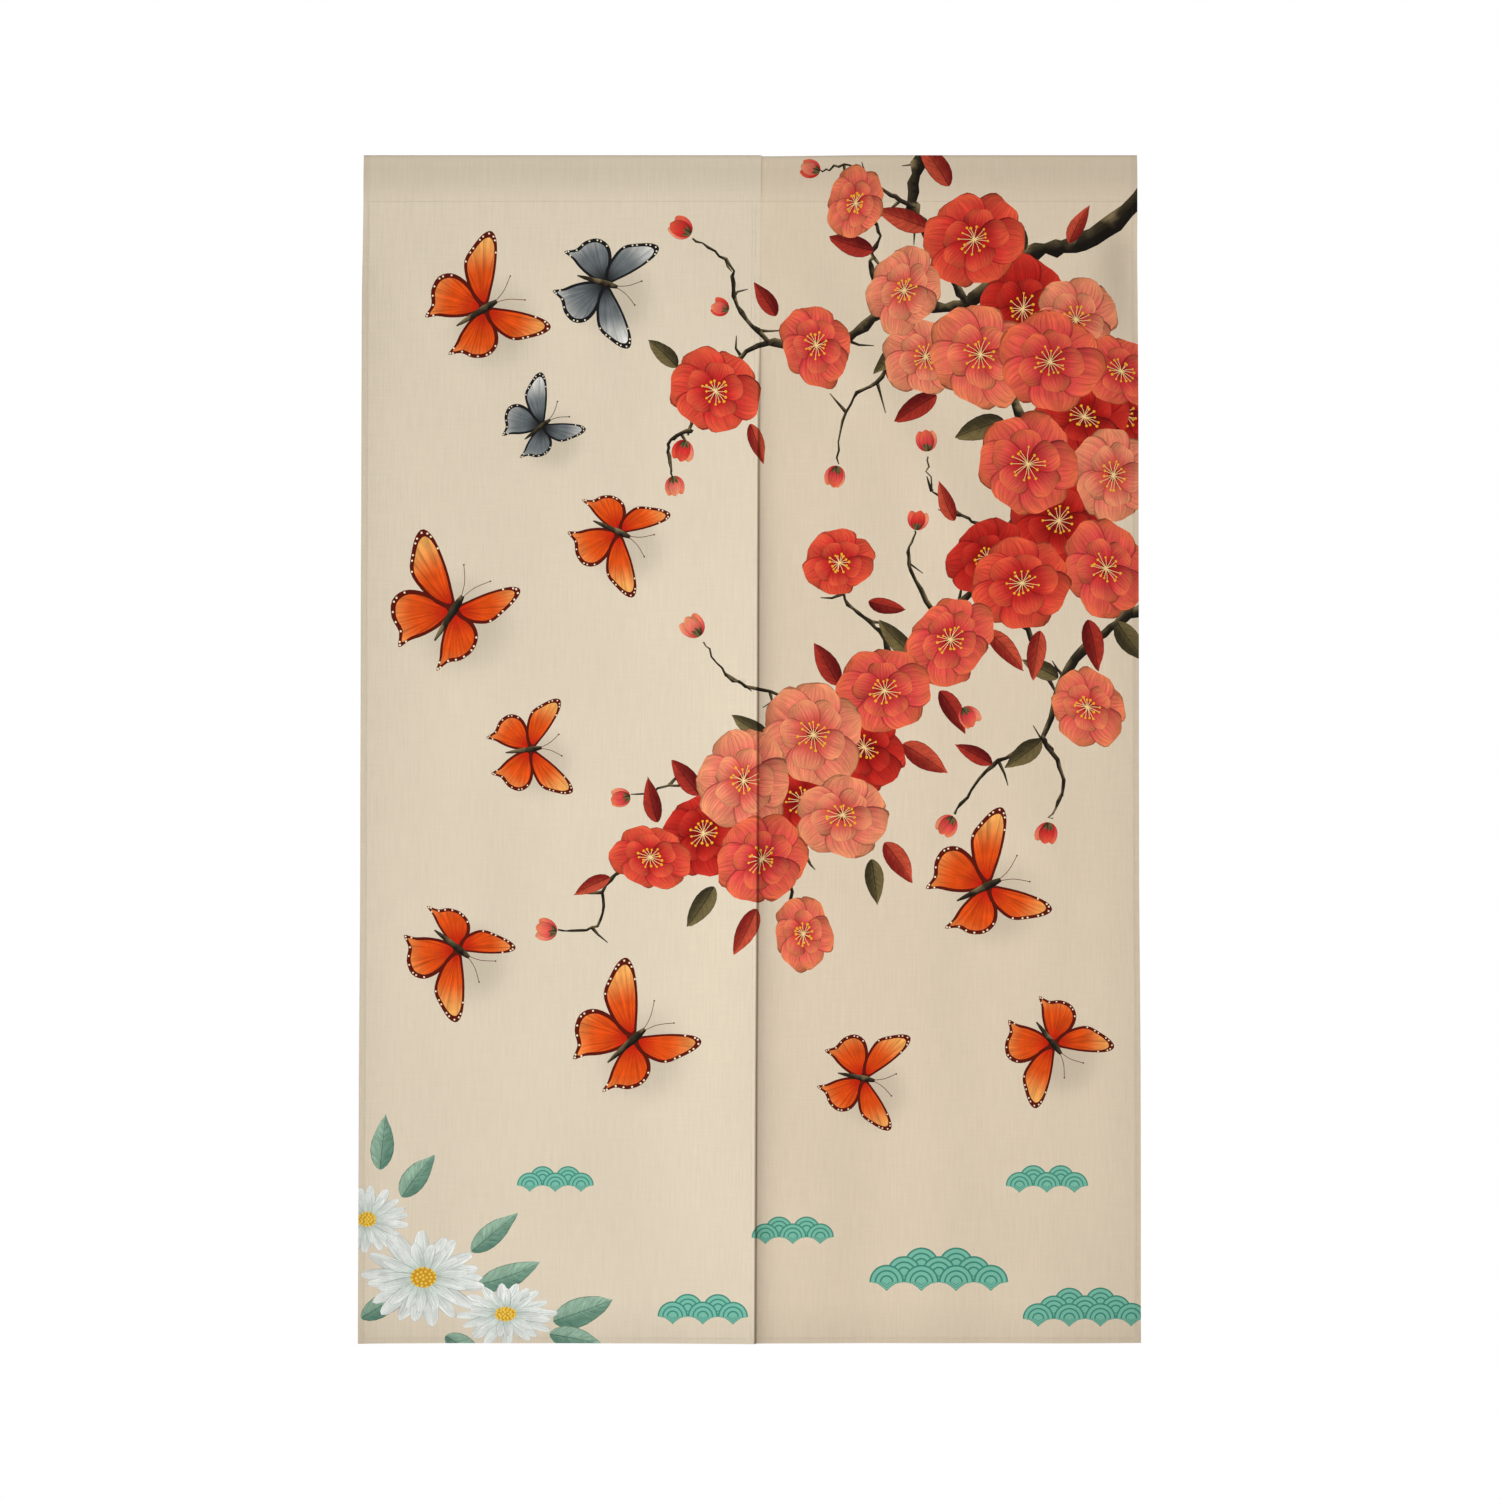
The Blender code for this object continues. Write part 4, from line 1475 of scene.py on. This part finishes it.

# Each panel's painted light: the left a little brighter, and the right a little darker and warmer, as
# painted shade
PANEL_PAINTED_LIGHT = {"left": (1.01, 1.01, 1.01, 1.0), "right": (0.989, 0.960, 0.939, 1.0)}
HEADING_TONES = (0.885, 0.945)
HEADING_PALER_FROM = 0.028
FOLD_TONE = 1.14          # the paler cloth along the top fold
FOLD_BAND = 0.015
# Painted shade: darker over the last few centimetres above the foot, and on the doubled outer hems
FOOT_PAINTED_SHADE = 0.90
FOOT_SHADE_BAND = 0.048
HEM_PAINTED_SHADE = 0.94

# Painted shade along the slit: dark on the left panel's rolled edge, and the left panel's shadow painted on
# the right panel beside it, most at the edge
SLIT_X = LEFT_EDGE_TOP + PANEL_WIDTH
SLIT_PAINTED_SHADES = {
    "left": table("near far tint", [
        (0.0008, 0.0024, (0.403, 0.371, 0.333, 1.0)),
    ]),
    "right": table("near far tint", [
        (0.0, 0.0019, (0.615, 0.563, 0.510, 1.0)),
        (0.001, 0.020, (0.950, 0.945, 0.940, 1.0)),
    ]),
}
# Where down each panel's painted slit shade begins
SLIT_PAINTED_SHADE_FROM = {"left": ROLL_FROM, "right": (0.196, 0.214)}


def weave(nodes, flat):
    """Plain weave: 1 on the crown of a yarn and 0 in the gaps between yarns."""
    across, down, _ = nodes.parts(nodes.scaled(flat, (YARN_TURN, YARN_TURN, 0.0)))
    warp = nodes.math("ABSOLUTE", nodes.math("SINE", across))
    weft = nodes.math("ABSOLUTE", nodes.math("SINE", down))
    over = nodes.times(nodes.math("COSINE", across), nodes.math("COSINE", down))
    over = nodes.spread(over, -0.4, 0.4, 0.0, 1.0)
    return nodes.math("ADD", nodes.times(warp, over), nodes.times(weft, nodes.math("SUBTRACT", 1.0, over)))


def print_tone(nodes, flat, lines):
    """The brushwork on the printed shapes: streaks, fine lines, an uneven wash and dark rims."""
    streaks = nodes.noise_tone(lines, (2.6, 1.6, 0.0), 3.0, 0.74, 1.20)
    from_line = nodes.math("SUBTRACT", nodes.math("FRACT", nodes.parts(lines)[0]), 0.5)
    veins = nodes.spread(nodes.math("ABSOLUTE", from_line), 0.0, 0.085, 0.66, 1.0)
    wash = nodes.noise_tone(flat, (70.0, 70.0, 0.0), 3.0, 0.88, 1.10)
    rim = nodes.spread(nodes.attribute("print_colour", "Alpha"), 0.90, 0.97, 1.0, 0.45)
    return nodes.times(streaks, veins, wash, rim)


def place_tone(nodes, down, outer_hem):
    """How the cloth's tone goes with its place: the heading, the top fold, and painted shade on the outer
    hems and toward the foot.
    """
    heading = nodes.spread(down, HEADING_PALER_FROM, SLEEVE_HEIGHT, *HEADING_TONES)
    below_heading = nodes.spread(down, SLEEVE_HEIGHT - 0.001, SLEEVE_HEIGHT + 0.001, 0.0, 1.0)
    return nodes.times(
        nodes.math("MAXIMUM", heading, below_heading),
        nodes.spread(down, 0.0, FOLD_BAND, FOLD_TONE, 1.0),
        # painted shade toward the foot
        nodes.spread(down, DROP - FOOT_SHADE_BAND, DROP, 1.0, FOOT_PAINTED_SHADE),
        # painted shade on the outer hems
        nodes.spread(outer_hem, 0.0, 1.0, 1.0, HEM_PAINTED_SHADE),
    )


def cloth_material(name, side, show_through, painted_slit_shades=()):
    """Printed linen-weave cloth. show_through is how much of the print this side shows; the last argument
    paints shade along the slit.
    """
    nodes = Nodes(name)
    flat = nodes.attribute("cloth_flat", "Vector")
    x, down, outer_hem = nodes.parts(flat)
    printed = nodes.attribute("print_colour", "Color")
    lines = nodes.attribute("print_lines", "Vector")
    drawn = nodes.toned(printed, print_tone(nodes, flat, lines), nodes.parts(lines)[2])
    colour = nodes.mix("MIX", show_through, tuple(BACK_CLOTH) + (1.0,), drawn)

    warp_slubs = nodes.noise(flat, (SLUB_THICK, SLUB_LONG, 0.0), 2.0)
    weft_slubs = nodes.noise(flat, (SLUB_LONG, SLUB_THICK, 0.0), 2.0)
    warp_slubs = nodes.times(warp_slubs, WARP_SLUBS)
    weft_slubs = nodes.times(weft_slubs, 2.0 - WARP_SLUBS)
    slubs = nodes.math("ADD", warp_slubs, weft_slubs)
    yarns = weave(nodes, flat)
    slub_tone = nodes.spread(slubs, *SLUB_RANGE, 0.966, 1.029)
    cloud_tone = nodes.noise_tone(flat, (4.0, 4.0, 0.0), 2.0, 0.985, 1.012)
    # Painted shade in the weave: the gaps between yarns darker than their crowns
    yarn_gap_shade = nodes.spread(yarns, 0.0, 0.8, 0.95, 1.01)
    tone = nodes.times(slub_tone, cloud_tone, yarn_gap_shade, place_tone(nodes, down, outer_hem))
    # Each panel's painted light and shade
    colour = nodes.mix("MULTIPLY", 1.0, nodes.toned(colour, tone), PANEL_PAINTED_LIGHT[side])

    # Painted shade along the slit: the left panel's rolled edge, and the left panel's shadow on the right
    # panel
    from_slit_edge = nodes.math("ABSOLUTE", nodes.math("SUBTRACT", x, SLIT_X))
    slit_open = nodes.spread(down, *SLIT_PAINTED_SHADE_FROM[side], 0.0, 1.0)
    for row in painted_slit_shades:
        beside = nodes.spread(from_slit_edge, row["near"], row["far"], 1.0, 0.0)
        colour = nodes.mix("MULTIPLY", nodes.times(beside, slit_open), colour, row["tint"])

    height = nodes.times(nodes.math("ADD", yarns, slubs), 0.5)
    return nodes.finished({
        "Base Color": colour,
        "Roughness": nodes.spread(slubs, *SLUB_RANGE, 0.84, 0.96),
        "Normal": nodes.bump(height, CLOTH_RELIEF),
        "Specular IOR Level": 0.14,
        "Sheen Weight": 0.02,
        "Sheen Roughness": 0.45,
    })


TWISTS = (9000.0, 9000.0, 9000.0)
THREAD_UNEVEN = (300.0, 300.0, 300.0)


def thread_material(name, side):
    """Twisted sewing thread, a little darker than the cloth."""
    nodes = Nodes(name)
    places = nodes.node("TexCoord").outputs["Object"]
    x, _, z = nodes.parts(nodes.scaled(places, TWISTS))
    twist = nodes.math("SINE", nodes.math("ADD", x, z))
    # Painted shade in the twist: its grooves darker than its crests
    tone = nodes.times(
        nodes.spread(twist, -1.0, 1.0, 0.82, 1.0),
        nodes.noise_tone(places, THREAD_UNEVEN, 2.0, 0.90, 1.06),
    )
    # The thread takes its panel's painted light and shade too
    colour = nodes.mix("MULTIPLY", 1.0, nodes.attribute("thread_colour", "Color"), PANEL_PAINTED_LIGHT[side])
    return nodes.finished({
        "Base Color": nodes.toned(colour, tone),
        "Roughness": nodes.spread(twist, -1.0, 1.0, 0.70, 0.58),
        "Normal": nodes.bump(twist, THREAD_RELIEF),
        "Sheen Weight": 0.2,
    })


# The setting

def aim(thing, place):
    thing.location = place
    thing.rotation_euler = (Vector(AIM) - Vector(place)).to_track_quat("-Z", "Y").to_euler()


def make_floor():
    """A plain pale floor, well below the hanging cloth."""
    bpy.ops.mesh.primitive_circle_add(
        vertices=96, radius=FLOOR_RADIUS, fill_type="NGON", location=(0, 0, FLOOR_Z))
    floor = bpy.context.object
    floor.name = "floor"
    nodes = Nodes("pale_floor")
    places = nodes.node("TexCoord").outputs["Object"]
    tone = nodes.noise_tone(places, (1.0, 1.0, 1.0), 2.0, 0.88, 0.91)
    floor.data.materials.append(nodes.finished({"Base Color": nodes.grey(tone), "Roughness": 0.9}))


LIGHTS = table("name place width height power", [
    ("side", (-9.0, -4.7, -0.3), 8.0, 7.0, 600.0),
    ("front", (0.0, -1.3, -0.65), 0.5, 1.8, 9.6),
    ("back", (3.0, 5.5, 3.2), 4.0, 4.0, 330.0),
])
AMBIENT = 0.305


def make_light(row):
    """A soft panel of light that the camera doesn't see."""
    light = bpy.data.lights.new(row["name"], "AREA")
    light.shape = "RECTANGLE"
    light.size = row["width"]
    light.size_y = row["height"]
    light.energy = row["power"]
    lamp = linked(row["name"], light)
    aim(lamp, row["place"])
    lamp.visible_camera = False


def make_world():
    """Soft light from all round, behind which the camera sees plain white."""
    world = bpy.data.worlds.new("studio")
    bpy.context.scene.world = world
    world.use_nodes = True
    tree = world.node_tree
    around = tree.nodes["Background"]
    around.inputs["Color"].default_value = WHITE
    around.inputs["Strength"].default_value = AMBIENT
    white = tree.nodes.new("ShaderNodeBackground")
    white.inputs["Color"].default_value = WHITE
    seen = tree.nodes.new("ShaderNodeLightPath")
    mix = tree.nodes.new("ShaderNodeMixShader")
    for number, output in enumerate((seen.outputs["Is Camera Ray"], around.outputs[0], white.outputs[0])):
        tree.links.new(output, mix.inputs[number])
    tree.links.new(mix.outputs[0], tree.nodes["World Output"].inputs["Surface"])


def make_camera():
    lens = bpy.data.cameras.new("photo_view")
    lens.lens = CAMERA_LENS
    lens.sensor_width = SENSOR
    lens.clip_end = 50.0
    camera = linked("photo_view", lens)
    aim(camera, (AIM[0], -FRAME_WIDTH / SENSOR * CAMERA_LENS, AIM[2]))
    bpy.context.scene.camera = camera


def main():
    bpy.context.scene.view_settings.view_transform = "Standard"
    make_camera()
    make_floor()
    make_world()
    for row in LIGHTS:
        make_light(row)

    shapes = print_shapes()
    drawn = print_lines(shapes)
    rng = np.random.default_rng(5)
    for side in ("left", "right"):
        panel = make_panel(side, drawn, shapes, rng)
        stitching = make_stitches(side, shapes, rng)
        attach(panel, "root")
        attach(stitching, "root")
        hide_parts("panel_" + side, "heading_sleeve")


main()
